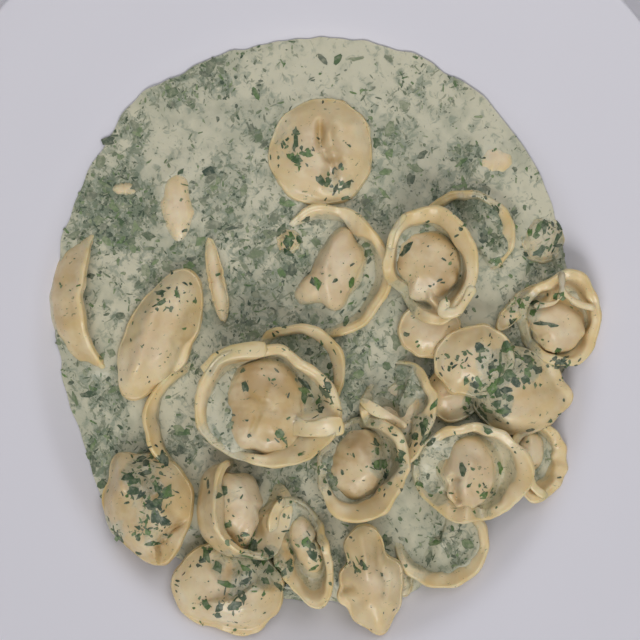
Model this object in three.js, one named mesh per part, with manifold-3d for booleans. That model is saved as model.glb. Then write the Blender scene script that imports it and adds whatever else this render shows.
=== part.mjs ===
// Tortellini in spinach cream sauce, lying in a wide-rimmed white pasta plate.
//
// Millimetres, +Z up. The origin is under the middle of the plate, whose foot ring stands on z = 0.
// The plate is slightly oval: +Y runs along its longer axis.
//
// Every tortellino is a closed solid of its own. Those that lie on top keep their whole shape, the ones
// below are cut back from them by a small gap, and the sauce is cut back from all of them.

import * as THREE from 'three';
import { mergeVertices } from 'three/addons/utils/BufferGeometryUtils.js';
import Module from 'manifold-3d';

const wasm = await Module();
wasm.setup();

// ---------------------------------------------------------------- driving dimensions

const GAP = 0.35; // air kept between neighbouring solids

const PLATE = {
  wellRadius: 87.4, // across X, where the well turns over into the rim
  rimRadius: 134.5, // across X, at the outer edge
  lengthRatio: 1.1225, // sizes along Y over the same sizes along X
  floorShare: 0.6, // the flat floor's radius over the well's
  floorHeight: 6.5,
  lipHeight: 29,
  rimHeight: 34.5,
  thickness: 4.6,
  lipRounding: 4.5,
  wallCurve: 1.45, // how late the wall steepens between floor and lip
  footRadius: 57,
  footWidth: 6,
  footHeight: 3.2,
  segments: 44,
};

const SAUCE = {
  level: 24.6, // in the middle of the plate
  slope: 0.022, // the sauce lies a little deeper towards +Y
  shore: 13, // width over which the surface runs down to the wall
  swell: 0.9, // height of the slow waves on it
  swellLength: 34,
  rings: 6,
  segments: 40,
};

// How far the sauce reaches across the well: [direction in degrees, share of the lip's radius].
const SHORELINE = [
  [0, 0.94], [19, 0.952], [34, 0.975], [52, 0.99], [75, 0.984], [100, 0.975], [118, 0.985], [130, 1.01],
  [142, 0.985], [158, 0.972], [172, 0.955], [185, 0.93], [200, 0.91], [215, 0.93], [226, 0.925],
  [236, 0.87], [250, 0.85], [270, 0.86], [290, 0.9], [305, 0.875], [320, 0.845], [335, 0.86], [348, 0.885],
];

const PASTA = {
  edge: 2.8, // thickness of the pressed edge that forms the brim
  groove: 7, // depth of the groove between dome and brim
  flare: 3.2, // how far the brim leans out over its own foot
  belly: 8, // depth of the filled pocket below the groove
  domeShare: 0.6, // the dome's radii over the brim's
  underside: 8, // depth of a closed side's pocket below its edge
  leastFlange: 0.06, // the pressed edge's width over a closed side's radius
  unevenOutline: 0.035, // share of the radius
  unevenCrest: 0.7,
  ringColumns: 14,
  pouchColumns: 12,
};

const COLOUR = {
  glaze: 0xe9e8ee,
  sauce: 0xb2b49e,
  pasta: 0xd3bb92,
};

// ---------------------------------------------------------------- small helpers

const radians = THREE.MathUtils.degToRad;
const lerp = THREE.MathUtils.lerp;
const clamp = THREE.MathUtils.clamp;

// Degrees from one direction to another, between -180 and 180.
function turnFrom(direction, towards) {
  return ((((towards - direction + 180) % 360) + 360) % 360) - 180;
}

// 1 in the middle of a sector, falling smoothly to 0 at its two sides.
function sector(direction, { at, width }) {
  const offset = clamp(turnFrom(at, direction) / (width / 2), -1, 1);
  return 0.5 + 0.5 * Math.cos(Math.PI * offset);
}

// The radius of an ellipse in a given direction, with its first axis turned by `turn` degrees.
function ellipseRadius(direction, [first, second], turn = 0) {
  const angle = radians(direction - turn);
  return 1 / Math.hypot(Math.cos(angle) / first, Math.sin(angle) / second);
}

// ---------------------------------------------------------------- solids and cuts

function positionsOnly(geometry) {
  const bare = geometry.clone();
  bare.deleteAttribute('normal');
  bare.deleteAttribute('uv');
  return mergeVertices(bare, 1e-4);
}

function toSolid(geometry) {
  const merged = positionsOnly(geometry);
  return new wasm.Manifold(new wasm.Mesh({
    numProp: 3,
    vertProperties: merged.attributes.position.array,
    triVerts: new Uint32Array(merged.index.array),
  }));
}

function toGeometry(solid) {
  const { vertProperties, triVerts } = solid.getMesh();
  const geometry = new THREE.BufferGeometry();
  geometry.setAttribute('position', new THREE.BufferAttribute(new Float32Array(vertProperties), 3));
  geometry.setIndex(new THREE.BufferAttribute(new Uint32Array(triVerts), 1));
  return geometry;
}

// The signed volume under one triangle of an indexed geometry.
function cornerVolume(positions, a, b, c) {
  const [p, q, r] = [a, b, c].map((i) => new THREE.Vector3().fromBufferAttribute(positions, i));
  return p.dot(q.cross(r)) / 6;
}

// Splits a geometry into its separate bodies, largest first.
function bodiesOf(geometry) {
  const merged = mergeVertices(geometry, 1e-4);
  const index = merged.index.array;
  const positions = merged.attributes.position;
  const parent = Array.from({ length: positions.count }, (_, i) => i);
  const rootOf = (i) => {
    let root = i;
    while (parent[root] !== root) root = parent[root];
    while (parent[i] !== root) [parent[i], i] = [root, parent[i]];
    return root;
  };
  for (let i = 0; i < index.length; i += 3) {
    parent[rootOf(index[i + 1])] = rootOf(index[i]);
    parent[rootOf(index[i + 2])] = rootOf(index[i]);
  }
  const bodies = new Map();
  for (let i = 0; i < index.length; i += 3) {
    const root = rootOf(index[i]);
    if (!bodies.has(root)) bodies.set(root, { faces: [], volume: 0 });
    const body = bodies.get(root);
    const corners = [index[i], index[i + 1], index[i + 2]];
    body.faces.push(...corners);
    body.volume += cornerVolume(positions, ...corners);
  }
  return [...bodies.values()]
    .sort((a, b) => b.volume - a.volume)
    .map(({ faces, volume }) => {
      const body = new THREE.BufferGeometry();
      body.setAttribute('position', positions.clone());
      body.setIndex(faces);
      return { geometry: mergeVertices(body.toNonIndexed(), 1e-4), volume };
    });
}

// The same closed surface with every face moved outwards by at least `distance`, save at knife edges.
function swollen(geometry, distance) {
  const grown = positionsOnly(geometry);
  const { position } = grown.attributes;
  const index = grown.index.array;
  const pointAt = (i) => new THREE.Vector3().fromBufferAttribute(position, i);
  const faceNormals = Array.from({ length: position.count }, () => []);
  for (let i = 0; i < index.length; i += 3) {
    const corners = [index[i], index[i + 1], index[i + 2]];
    const normal = new THREE.Vector3();
    new THREE.Triangle(...corners.map(pointAt)).getNormal(normal);
    corners.forEach((corner) => faceNormals[corner].push(normal));
  }
  const sharpest = 0.4;
  const moved = faceNormals.map((normals, i) => {
    const outward = normals.reduce((sum, normal) => sum.add(normal), new THREE.Vector3()).normalize();
    const least = Math.min(...normals.map((normal) => normal.dot(outward)));
    return pointAt(i).addScaledVector(outward, distance / Math.max(least, sharpest));
  });
  moved.forEach((point, i) => position.setXYZ(i, point.x, point.y, point.z));
  return grown;
}

// Rewrites a sphere so that each of its rows and columns follows place(row, direction) -> [x, y, z].
function wrapSphere(columns, rows, place) {
  const sphere = new THREE.SphereGeometry(1, columns, rows);
  const position = sphere.attributes.position;
  for (let i = 0; i < position.count; i++) {
    const row = Math.floor(i / (columns + 1));
    const column = i % (columns + 1);
    position.setXYZ(i, ...place(row, 180 + (360 * column) / columns));
  }
  return positionsOnly(sphere);
}

function pasteAlong(direction, radius, height) {
  const angle = radians(direction);
  return [radius * Math.cos(angle), radius * Math.sin(angle), height];
}

// ---------------------------------------------------------------- plate

// Height of the well's inner surface at a share of the lip's radius.
function wellHeight(share) {
  const climb = clamp((share - PLATE.floorShare) / (1 - PLATE.floorShare), 0, 1);
  return lerp(PLATE.floorHeight, PLATE.lipHeight, climb ** PLATE.wallCurve);
}

// The plate's section, from the middle of the floor over the rim to the middle of the underside.
function plateProfile() {
  const { wellRadius, rimRadius, thickness, lipHeight, rimHeight, lipRounding } = PLATE;
  const profile = [new THREE.Vector2(0, PLATE.floorHeight)];
  const wallStart = wellRadius * PLATE.floorShare;
  const wallEnd = wellRadius - lipRounding;
  const wallSteps = 5;
  for (let i = 0; i <= wallSteps; i++) {
    const radius = lerp(wallStart, wallEnd, i / wallSteps);
    profile.push(new THREE.Vector2(radius, wellHeight(radius / wellRadius)));
  }
  profile.push(new THREE.Vector2(wellRadius, lipHeight - 0.8));
  profile.push(new THREE.Vector2(wellRadius + lipRounding, lipHeight + 0.3));
  profile.push(new THREE.Vector2(lerp(wellRadius, rimRadius, 0.5), lerp(lipHeight, rimHeight, 0.4)));
  profile.push(new THREE.Vector2(rimRadius - 1.2, rimHeight));
  profile.push(new THREE.Vector2(rimRadius, rimHeight - 1.3));
  profile.push(new THREE.Vector2(rimRadius - 1.6, rimHeight - 3.6));
  profile.push(new THREE.Vector2(wellRadius + 6, lipHeight - thickness));
  profile.push(new THREE.Vector2(wellRadius - 9, lipHeight - thickness - 11));
  profile.push(new THREE.Vector2(PLATE.footRadius + 4, PLATE.footHeight - 0.4));
  profile.push(new THREE.Vector2(PLATE.footRadius, 0));
  profile.push(new THREE.Vector2(PLATE.footRadius - PLATE.footWidth, 0));
  profile.push(new THREE.Vector2(PLATE.footRadius - PLATE.footWidth - 1.5, PLATE.footHeight - 1));
  profile.push(new THREE.Vector2(0, PLATE.footHeight - 1));
  return profile;
}

// Turns a profile of radius and height round the Z axis and stretches it into the plate's oval.
function ovalLathe(profile, segments) {
  const upward = [...profile].reverse();
  const lathe = new THREE.LatheGeometry(upward, segments);
  return lathe.rotateX(Math.PI / 2).scale(1, PLATE.lengthRatio, 1);
}

// The free space inside the well, kept a gap away from the glaze and reaching far above the rim.
function wellSpace() {
  const ceiling = 90;
  const profile = [new THREE.Vector2(0, PLATE.floorHeight + GAP)];
  const steps = 7;
  for (let i = 0; i <= steps; i++) {
    const share = lerp(PLATE.floorShare, 1, i / steps);
    const radius = share * PLATE.wellRadius - 2 * GAP;
    profile.push(new THREE.Vector2(radius, wellHeight(share) + 2 * GAP));
  }
  profile.push(new THREE.Vector2(PLATE.wellRadius + 5, PLATE.lipHeight + 2));
  profile.push(new THREE.Vector2(PLATE.rimRadius - 10, PLATE.rimHeight + 1));
  profile.push(new THREE.Vector2(PLATE.rimRadius - 10, ceiling));
  profile.push(new THREE.Vector2(0, ceiling));
  return ovalLathe(profile.reverse(), PLATE.segments);
}

// ---------------------------------------------------------------- tortellini

// The sum of a list of swells, each of them { at, width, by }: `by` in the middle of its sector.
function swells(list, direction) {
  return (list ?? []).reduce((sum, swell) => sum + swell.by * sector(direction, swell), 0);
}

// Hand-made unevenness, between about -1 and 1, different for every piece and closed round the circle.
function unevenness(number, direction) {
  const angle = radians(direction);
  return 0.5 * Math.sin(2 * angle + 2.4 * number)
    + 0.35 * Math.sin(3 * angle + 4.1 * number)
    + 0.15 * Math.sin(5 * angle + 1.3 * number);
}

// The outline of a piece in a direction: an uneven oval, drawn out or pinched in at its points.
function outlineRadius(shape, direction) {
  const oval = ellipseRadius(direction, shape.radii, shape.turn ?? 0);
  const uneven = PASTA.unevenOutline * unevenness(shape.number, direction);
  return oval * (1 + uneven + swells(shape.points, direction));
}

// The section of a tortellino seen from its open side, in one direction, from the top of the dome over
// the groove and the upturned brim to the middle of the underside. Height 0 is the brim's crest.
function ringSection(shape, direction) {
  const { edge = PASTA.edge, flare = PASTA.flare, groove = PASTA.groove, belly = PASTA.belly } = shape;
  const { dome = -1 } = shape;
  const { shift = [0, 0], domeRadii = shape.radii.map((radius) => PASTA.domeShare * radius) } = shape;
  const radius = outlineRadius(shape, direction);
  const inner = radius - edge;
  const along = [Math.cos(radians(direction)), Math.sin(radians(direction))];
  const shifted = shift[0] * along[0] + shift[1] * along[1];
  const domeRadius = Math.min(ellipseRadius(direction, domeRadii, shape.domeTurn ?? 0), inner - 1 - shifted);
  const crest = swells(shape.rim, direction) + PASTA.unevenCrest * unevenness(shape.number + 1, direction);
  const tab = swells(shape.tabs, direction);
  const valley = lerp(Math.min(-groove, crest - 1), crest - 1.2, tab);
  const domeEdge = Math.max(lerp(dome, -groove, 0.65), valley + 0.3);
  const foot = -groove - 1;
  const onDome = (part, height) => [...along.map((a, i) => shift[i] + part * domeRadius * a), height];
  const outward = (reach, height) => [...along.map((a) => reach * a), height];
  const edgeOfDome = onDome(0.95, domeEdge);
  const topOfWall = outward(inner, crest - 0.5);
  return [
    [...shift, dome],
    onDome(0.6, lerp(dome, -groove, 0.2)),
    edgeOfDome,
    [lerp(edgeOfDome[0], topOfWall[0], 0.45), lerp(edgeOfDome[1], topOfWall[1], 0.45), valley],
    topOfWall,
    outward(radius - 0.3, crest),
    outward(radius - 0.4 * flare, lerp(crest, foot, 0.5)),
    outward(radius - flare, foot),
    outward(0.6 * (radius - flare), foot - 0.8 * belly),
    outward(0, foot - belly),
  ];
}

// The section of a tortellino seen from its closed side: a filled pocket that runs out into the thin
// pressed edge. Height 0 is the edge's middle.
function pouchSection(shape, direction) {
  const { height = 8, under = PASTA.underside, edge = PASTA.edge, shift = [0, 0] } = shape;
  const radius = outlineRadius(shape, direction);
  const flange = Math.max(radius * (PASTA.leastFlange + swells(shape.flange, direction)), 1);
  const pocket = radius - flange;
  const lift = swells(shape.rim, direction);
  const along = [Math.cos(radians(direction)), Math.sin(radians(direction))];
  const outward = (reach, z, follows) => [...along.map((a, i) => reach * a + follows * shift[i]), z];
  return [
    [...shift, height],
    outward(0.5 * pocket, 0.86 * height, 0.6),
    outward(pocket, lerp(0.4 * height, edge / 2, 0.5) + 0.5 * lift, 0),
    outward(radius - 0.4, edge / 2 + lift, 0),
    outward(radius, -edge / 2 + lift, 0),
    outward(0.7 * pocket, -0.75 * under, 0),
    outward(0, -under, 0),
  ];
}

// Stands a shape in the plate: tipped by `tilt` degrees towards the direction `lean`, centred on `at`.
function placement({ at, lean = 0, tilt = 0 }) {
  const axis = new THREE.Vector3(-Math.sin(radians(lean)), Math.cos(radians(lean)), 0);
  const turn = new THREE.Quaternion().setFromAxisAngle(axis, radians(tilt));
  return new THREE.Matrix4().compose(new THREE.Vector3(...at), turn, new THREE.Vector3(1, 1, 1));
}

// The closed surface of one tortellino in its own frame.
function tortellinoShape(shape) {
  const sectionOf = shape.form === 'ring' ? ringSection : pouchSection;
  const columns = shape.columns ?? (shape.form === 'ring' ? PASTA.ringColumns : PASTA.pouchColumns);
  const rows = sectionOf(shape, 0).length - 1;
  return wrapSphere(columns, rows, (row, direction) => sectionOf(shape, direction)[row]);
}

// Placed from the top of the heap downwards: each one is cut back from all that stand before it.
// Directions are in degrees round +Z from +X; `lean` and `tilt` tip a piece towards a direction.
const TORTELLINI = [
  // open rings on top of the heap
  { form: 'ring', at: [-14.5, -19.8, 41], radii: [22.2, 19], domeRadii: [12.4, 16.2], shift: [-1, -1.8],
    dome: -0.5, groove: 7.5, tabs: [{ at: -12, width: 46, by: 0.9 }],
    points: [{ at: -20, width: 50, by: 0.05 }, { at: 45, width: 70, by: -0.09 },
      { at: 128, width: 60, by: 0.07 }],
    rim: [{ at: 115, width: 90, by: 1.2 }, { at: 265, width: 110, by: -2 }] },
  { form: 'ring', at: [35.2, 23.6, 39.5], radii: [14.9, 17.6], domeRadii: [11.6, 10.8], shift: [-2.6, -1],
    edge: 3.2, groove: 8, dome: -2, lean: 222, tilt: 10, rim: [{ at: 232, width: 90, by: -6 }],
    points: [{ at: 285, width: 60, by: 0.08 }, { at: 228, width: 70, by: -0.14 }],
    tabs: [{ at: 285, width: 34, by: 0.8 }] },
  { form: 'ring', at: [14.6, -38.6, 37], radii: [14.6, 16.6], domeRadii: [9.2, 11.4], shift: [-3.2, 1.8],
    edge: 3.2, groove: 8.5, dome: -1.5, lean: 130, tilt: 12, rim: [{ at: 125, width: 120, by: -5 }],
    points: [{ at: 240, width: 80, by: 0.08 }, { at: 330, width: 70, by: -0.07 }] },
  { form: 'ring', at: [48.2, -40.8, 37.5], radii: [18.6, 15.6], domeRadii: [8.6, 11.2], shift: [-1.2, 0],
    dome: 0.8, groove: 6.5, lean: 205, tilt: 7, tabs: [{ at: 205, width: 50, by: 0.6 }],
    points: [{ at: 12, width: 60, by: 0.06 }, { at: 318, width: 70, by: -0.13 }],
    rim: [{ at: 205, width: 120, by: -4.5 }, { at: 285, width: 60, by: -3 }] },
  { form: 'ring', at: [-18.4, -50.6, 35], radii: [14, 15.6], domeRadii: [6.8, 10], shift: [1.6, 1.4],
    dome: 1, groove: 9, flare: 0.6, belly: 10, lean: 22, tilt: 38, points: [{ at: 286, width: 60, by: 0.1 }],
    rim: [{ at: 75, width: 110, by: -4 }], tabs: [{ at: 292, width: 34, by: 0.5 }] },
  // closed sides and leaning pieces round them
  { form: 'pouch', at: [49.4, -6, 33], radii: [12.6, 11.4], turn: 20, height: 6.5,
    points: [{ at: -45, width: 80, by: 0.08 }], flange: [{ at: 0, width: 170, by: 0.12 }] },
  { form: 'ring', at: [76, 7.6, 34], radii: [12.8, 15.6], domeRadii: [10.2, 8.2], shift: [-1.2, -4.2],
    dome: 1.5, groove: 5.5, lean: 250, tilt: 8, tabs: [{ at: 95, width: 50, by: 0.8 }],
    points: [{ at: 112, width: 90, by: -0.22 }, { at: 300, width: 60, by: 0.08 }],
    rim: [{ at: 215, width: 120, by: -4 }] },
  { form: 'pouch', at: [63.5, -15.6, 28.5], radii: [15.4, 14], turn: -25, height: 8, shift: [-3, -3],
    points: [{ at: -8, width: 50, by: 0.14 }], flange: [{ at: 20, width: 120, by: 0.24 }] },
  { form: 'pouch', at: [-52, -51, 29], radii: [14.6, 15.6], height: 8.5, lean: 135, tilt: 10,
    shift: [-1.5, 1], points: [{ at: 125, width: 60, by: 0.24 }, { at: 288, width: 80, by: 0.24 }],
    flange: [{ at: 305, width: 100, by: 0.3 }], rim: [{ at: 305, width: 90, by: 2.5 }] },
  { form: 'ring', at: [25.8, -19.4, 33.5], radii: [12.4, 13.6], groove: 7, dome: -6.5, domeRadii: [6, 7],
    lean: 150, tilt: 12, points: [{ at: 275, width: 80, by: 0.42 }], rim: [{ at: 100, width: 120, by: -6 }] },
  { form: 'pouch', at: [17.4, -74.4, 28.5], radii: [10, 16.8], turn: 9, height: 7.5, shift: [1, -3],
    points: [{ at: 115, width: 60, by: 0.1 }, { at: 215, width: 50, by: 0.12 }],
    flange: [{ at: 215, width: 80, by: 0.2 }] },
  { form: 'ring', at: [-4.4, -65, 32], radii: [9, 17], turn: 20, groove: 6, dome: -1, domeRadii: [4.4, 9],
    domeTurn: 20, points: [{ at: 288, width: 50, by: 0.12 }], rim: [{ at: 60, width: 120, by: -4 }] },
  { form: 'pouch', at: [-27.2, -77, 29], radii: [18, 14], turn: -10, height: 7.5, shift: [1, -2],
    points: [{ at: 292, width: 70, by: 0.12 }, { at: 245, width: 40, by: -0.06 }],
    flange: [{ at: 270, width: 150, by: 0.14 }] },
  { form: 'ring', at: [70, -37, 30.5], radii: [9.6, 12.4], lean: 20, tilt: 10, groove: 6, dome: -0.5,
    domeRadii: [5.4, 7], shift: [-2, 3], points: [{ at: 262, width: 60, by: 0.1 }],
    tabs: [{ at: 250, width: 60, by: 0.8 }] },
  { form: 'pouch', at: [-48.6, 1.8, 27.5], radii: [11, 20.4], turn: -28, height: 8.5, shift: [1, 2],
    points: [{ at: 243, width: 50, by: 0.12 }, { at: 70, width: 70, by: 0.1 }],
    flange: [{ at: 325, width: 110, by: 0.2 }] },
  { form: 'ring', at: [-66, 13, 21.5], radii: [14, 24], lean: 4, tilt: 62, groove: 7, dome: -6, flare: 1.4,
    belly: 12, points: [{ at: 235, width: 90, by: -0.12 }] },
  { form: 'ring', at: [4.9, 22.4, 29.5], radii: [19, 20.8], domeRadii: [7.6, 11.6], shift: [1, -0.6],
    domeTurn: -28, dome: 2.5, groove: 6, lean: 190, tilt: 8, edge: 2.4,
    rim: [{ at: 180, width: 150, by: -3 }], points: [{ at: 42, width: 70, by: -0.06 }] },
  { form: 'pouch', at: [2, 59.5, 26], radii: [16.9, 17], height: 6.5,
    flange: [{ at: 250, width: 90, by: 0.12 }] },
  // brims and backs that reach out of the sauce
  { form: 'ring', at: [47.4, 33.4, 28.6], radii: [15.2, 14], dome: -6, domeRadii: [7, 7], lean: 225,
    tilt: 12, edge: 2.4 },
  { form: 'ring', at: [39.4, -63, 27.6], radii: [15.4, 14.4], dome: -5, domeRadii: [7, 7], lean: 150,
    tilt: 12, edge: 2.6 },
  { form: 'pouch', at: [36, 3.6, 28.5], radii: [10, 9.2], height: 4.5, columns: 10 },
  { form: 'pouch', at: [43, -17, 27], radii: [9, 8.6], height: 5, columns: 10 },
  { form: 'ring', at: [-5.6, -9.6, 30.8], radii: [15.6, 15], dome: -5, domeRadii: [7, 7], lean: 235,
    tilt: 8, edge: 2.4 },
  { form: 'ring', at: [-38, -25, 26], radii: [16, 18.5], dome: -5, domeRadii: [7, 7], lean: 5, tilt: 24,
    flare: 2 },
  { form: 'pouch', at: [-31, 19, 25.6], radii: [2.8, 13.6], turn: 10, height: 2.8, under: 6, columns: 8 },
  { form: 'pouch', at: [63.5, 10.4, 26.6], radii: [3, 9.6], turn: -42, height: 2.4, under: 6, columns: 8 },
  { form: 'pouch', at: [-43.2, 43, 24], radii: [6.8, 14], height: 4.2, columns: 10 },
  { form: 'pouch', at: [57, 57.6, 24.6], radii: [8.6, 7.6], height: 3.4, columns: 8 },
  { form: 'pouch', at: [72, 32, 24.6], radii: [7, 7.6], height: 3.4, columns: 8 },
  { form: 'pouch', at: [-60, 48, 24.4], radii: [5.4, 3.4], height: 3, under: 6, columns: 8 },
  { form: 'pouch', at: [-8.2, 31.4, 25], radii: [4.2, 4], height: 3.4, under: 6, columns: 8 },
  { form: 'pouch', at: [27, -75, 22.4], radii: [4.2, 7], turn: 15, height: 3.6, under: 6, columns: 8 },
].map((shape, place) => ({ ...shape, number: place + 1 }));

// ---------------------------------------------------------------- sauce

// The share of the lip's radius that the sauce reaches in a direction, smoothed between the list's points.
function shoreShare(direction) {
  const turned = ((direction % 360) + 360) % 360;
  const next = SHORELINE.findIndex(([at]) => at > turned);
  const after = next < 0 ? 0 : next;
  const before = (after + SHORELINE.length - 1) % SHORELINE.length;
  const [fromAt, fromShare] = SHORELINE[before];
  const [toAt, toShare] = SHORELINE[after];
  const span = (toAt - fromAt + 360) % 360;
  const along = ((turned - fromAt + 360) % 360) / span;
  return lerp(fromShare, toShare, along * along * (3 - 2 * along));
}

// Height of the open sauce at a place, before it runs down to the wall.
function openLevel(x, y) {
  const waves = Math.sin(x / SAUCE.swellLength * 2.3 + 0.6) * Math.cos(y / SAUCE.swellLength * 2.1 - 0.4);
  return SAUCE.level + SAUCE.slope * y + SAUCE.swell * waves;
}

// The sauce before anything is cut out of it: its top, its shore, and its underside along the well.
function sauceBlock() {
  const { rings, segments } = SAUCE;
  const underRings = 4;
  return wrapSphere(segments, rings + underRings, (row, direction) => {
    const shore = shoreShare(direction) - GAP / PLATE.wellRadius;
    const onTop = row <= rings;
    const part = onTop ? row / rings : 1 - (row - rings) / underRings;
    const share = shore * part ** 0.8;
    const radius = share * PLATE.wellRadius;
    const [x, y] = pasteAlong(direction, radius, 0);
    const place = [x, y * PLATE.lengthRatio];
    const bed = wellHeight(share) + 2 * GAP;
    const fromShore = (shore - share) * PLATE.wellRadius;
    const cover = 1 - (1 - clamp(fromShore / SAUCE.shore, 0, 1)) ** 2;
    const edge = wellHeight(shore) + 1.4;
    return [...place, onTop ? lerp(edge, openLevel(...place), cover) : bed];
  });
}

// ---------------------------------------------------------------- assembly

const materials = {
  glaze: new THREE.MeshStandardMaterial({ color: COLOUR.glaze, roughness: 0.18, metalness: 0 }),
  sauce: new THREE.MeshStandardMaterial({ color: COLOUR.sauce, roughness: 0.35, metalness: 0 }),
  pasta: new THREE.MeshStandardMaterial({ color: COLOUR.pasta, roughness: 0.4, metalness: 0 }),
};

function namedMesh(name, geometry, material, matrix = new THREE.Matrix4()) {
  const local = geometry.clone().applyMatrix4(matrix.clone().invert());
  local.computeVertexNormals();
  const mesh = new THREE.Mesh(local, material.clone());
  mesh.name = name;
  mesh.applyMatrix4(matrix);
  return mesh;
}

const part = new THREE.Group();
part.name = 'tortellini_in_plate';
part.add(namedMesh('plate', positionsOnly(ovalLathe(plateProfile(), PLATE.segments)), materials.glaze));

const pasta = new THREE.Group();
const space = toSolid(wellSpace());
const cutters = [];
let sauce = toSolid(sauceBlock());
TORTELLINI.forEach((shape) => {
  const matrix = placement(shape);
  const own = tortellinoShape(shape);
  let solid = toSolid(own.clone().applyMatrix4(matrix)).intersect(space);
  for (const cutter of cutters) solid = solid.subtract(cutter);
  const [body] = bodiesOf(toGeometry(solid));
  const name = `tortellino_${String(shape.number).padStart(2, '0')}`;
  pasta.add(namedMesh(name, body.geometry, materials.pasta, matrix));
  cutters.push(toSolid(swollen(own, GAP).applyMatrix4(matrix)));
  sauce = sauce.subtract(cutters.at(-1));
});
part.add(pasta);

const [mainSauce] = bodiesOf(toGeometry(sauce));
part.add(namedMesh('sauce', mainSauce.geometry, materials.sauce));

export default part;
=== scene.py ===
"""Tortellini in spinach cream sauce, heaped in the well of a wide-rimmed white pasta plate.

Sizes are in millimetres, +Z up, and turn into metres where a mesh is written. Directions are in degrees
round +Z from +X. The plate stands on z = 0 with its middle over the origin.
"""

import logging
import math
from collections.abc import Sequence
from dataclasses import dataclass, field, replace
from enum import Enum

import bmesh
import bpy
import numpy as np
from mathutils import Matrix, Vector
from mathutils.bvhtree import BVHTree


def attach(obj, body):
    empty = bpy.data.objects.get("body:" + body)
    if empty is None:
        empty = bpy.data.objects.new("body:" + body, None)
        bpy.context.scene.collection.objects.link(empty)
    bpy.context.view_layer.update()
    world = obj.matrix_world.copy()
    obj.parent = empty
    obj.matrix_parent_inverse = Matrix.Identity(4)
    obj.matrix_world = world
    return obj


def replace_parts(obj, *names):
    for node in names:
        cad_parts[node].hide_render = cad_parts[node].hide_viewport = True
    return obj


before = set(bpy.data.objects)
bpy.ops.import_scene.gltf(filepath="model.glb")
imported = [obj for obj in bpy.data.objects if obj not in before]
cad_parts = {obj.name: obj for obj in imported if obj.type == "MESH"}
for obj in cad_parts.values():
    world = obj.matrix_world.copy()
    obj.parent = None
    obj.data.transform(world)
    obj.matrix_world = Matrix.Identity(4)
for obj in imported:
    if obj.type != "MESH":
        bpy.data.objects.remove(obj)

LOG = logging.getLogger("tortellini")
MM = 0.001
Point = tuple[float, float]
Triple = tuple[float, float, float]

# ---------------------------------------------------------------- numbers


def lerp(low: float, high: float, share: float) -> float:
    """Returns the value that lies `share` of the way from low to high."""
    return low + (high - low) * share


def smooth(value: np.ndarray, low: float, high: float) -> np.ndarray:
    """Returns a share that rises softly from 0 at low to 1 at high."""
    share = np.clip((value - low) / (high - low), 0, 1)
    return share * share * (3 - 2 * share)


def sector(direction: np.ndarray, at: float, width: float) -> np.ndarray:
    """Returns 1 in the middle of a sector, falling smoothly to 0 at its sides.

    Args:
        direction: directions in degrees.
        at: the sector's middle.
        width: its whole width.

    Returns:
        A share for each direction.
    """
    offset = (direction - at + 180) % 360 - 180
    return 0.5 + 0.5 * np.cos(np.pi * np.clip(offset / (width / 2), -1, 1))


def ellipse_radius(direction: np.ndarray, radii: Point, turn: float = 0) -> np.ndarray:
    """Returns the radius of an ellipse, its first axis turned by `turn`, in each direction."""
    angle = np.radians(direction - turn)
    return 1 / np.hypot(np.cos(angle) / radii[0], np.sin(angle) / radii[1])


def along(direction: np.ndarray) -> np.ndarray:
    """Returns the unit vectors in the plane for directions in degrees, as (n, 2)."""
    angle = np.radians(direction)
    return np.stack([np.cos(angle), np.sin(angle)], axis=-1)


def polar_of(places: np.ndarray) -> tuple[np.ndarray, np.ndarray]:
    """Returns how places lie round the Z axis: their directions in degrees and their distances."""
    x, y = places[:, 0], places[:, 1]
    return np.degrees(np.arctan2(y, x)), np.hypot(x, y)


def ripples(points: np.ndarray, length: float, seed: int) -> np.ndarray:
    """Returns soft unevenness in space, between about -1 and 1.

    Args:
        points: places in millimetres, as (n, 3).
        length: the typical wavelength in millimetres.
        seed: picks the waves.

    Returns:
        One value for each place.
    """
    waves = 7
    draw = np.random.default_rng(seed)
    total = np.zeros(len(points))
    for _ in range(waves):
        heading = draw.normal(size=3)
        heading *= 2 * np.pi / (length * draw.uniform(0.6, 1.6) * np.linalg.norm(heading))
        total += np.sin(points @ heading + draw.uniform(0, 2 * np.pi))
    return total / math.sqrt(waves)


def summed_ripples(points: np.ndarray, layers: Sequence[tuple[float, float, int]]) -> np.ndarray:
    """Returns the sum of several layers of ripples, each given by its size, length and seed."""
    return sum(size * ripples(points, length, seed) for size, length, seed in layers)


def between(knots: Sequence[np.ndarray], t: np.ndarray | float) -> np.ndarray:
    """Returns what lies at share t from the second to the third of four knots of a smooth curve."""
    before, start, end, after = knots
    return 0.5 * (2 * start + (end - before) * t + (2 * before - 5 * start + 4 * end - after) * t ** 2
                  + (3 * start - before - 3 * end + after) * t ** 3)


def curve_rows(control: np.ndarray, per_span: int) -> np.ndarray:
    """Runs a smooth curve through the rows of a section that starts and ends on an axis.

    Args:
        control: the section's points, as (rows, columns, 3).
        per_span: how many steps each stretch between two rows gets.

    Returns:
        The finer rows, as ((rows - 1) * per_span + 1, columns, 3).
    """
    mirrored = np.array([-1.0, -1.0, 1.0])
    first = control[0] + (control[1] - control[0]) * mirrored
    last = control[-1] + (control[-2] - control[-1]) * mirrored
    knots = np.concatenate([first[None], control, last[None]])
    rows = []
    for span in range(len(control) - 1):
        for step in range(per_span):
            rows.append(between(knots[span:span + 4], step / per_span))
    rows.append(control[-1])
    return np.array(rows)


# ---------------------------------------------------------------- meshes


def read_points(mesh: bpy.types.Mesh) -> np.ndarray:
    """Returns a mesh's vertices in millimetres, as (n, 3)."""
    flat = np.empty(len(mesh.vertices) * 3, np.float32)
    mesh.vertices.foreach_get("co", flat)
    return flat.reshape(-1, 3).astype(float) / MM


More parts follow.
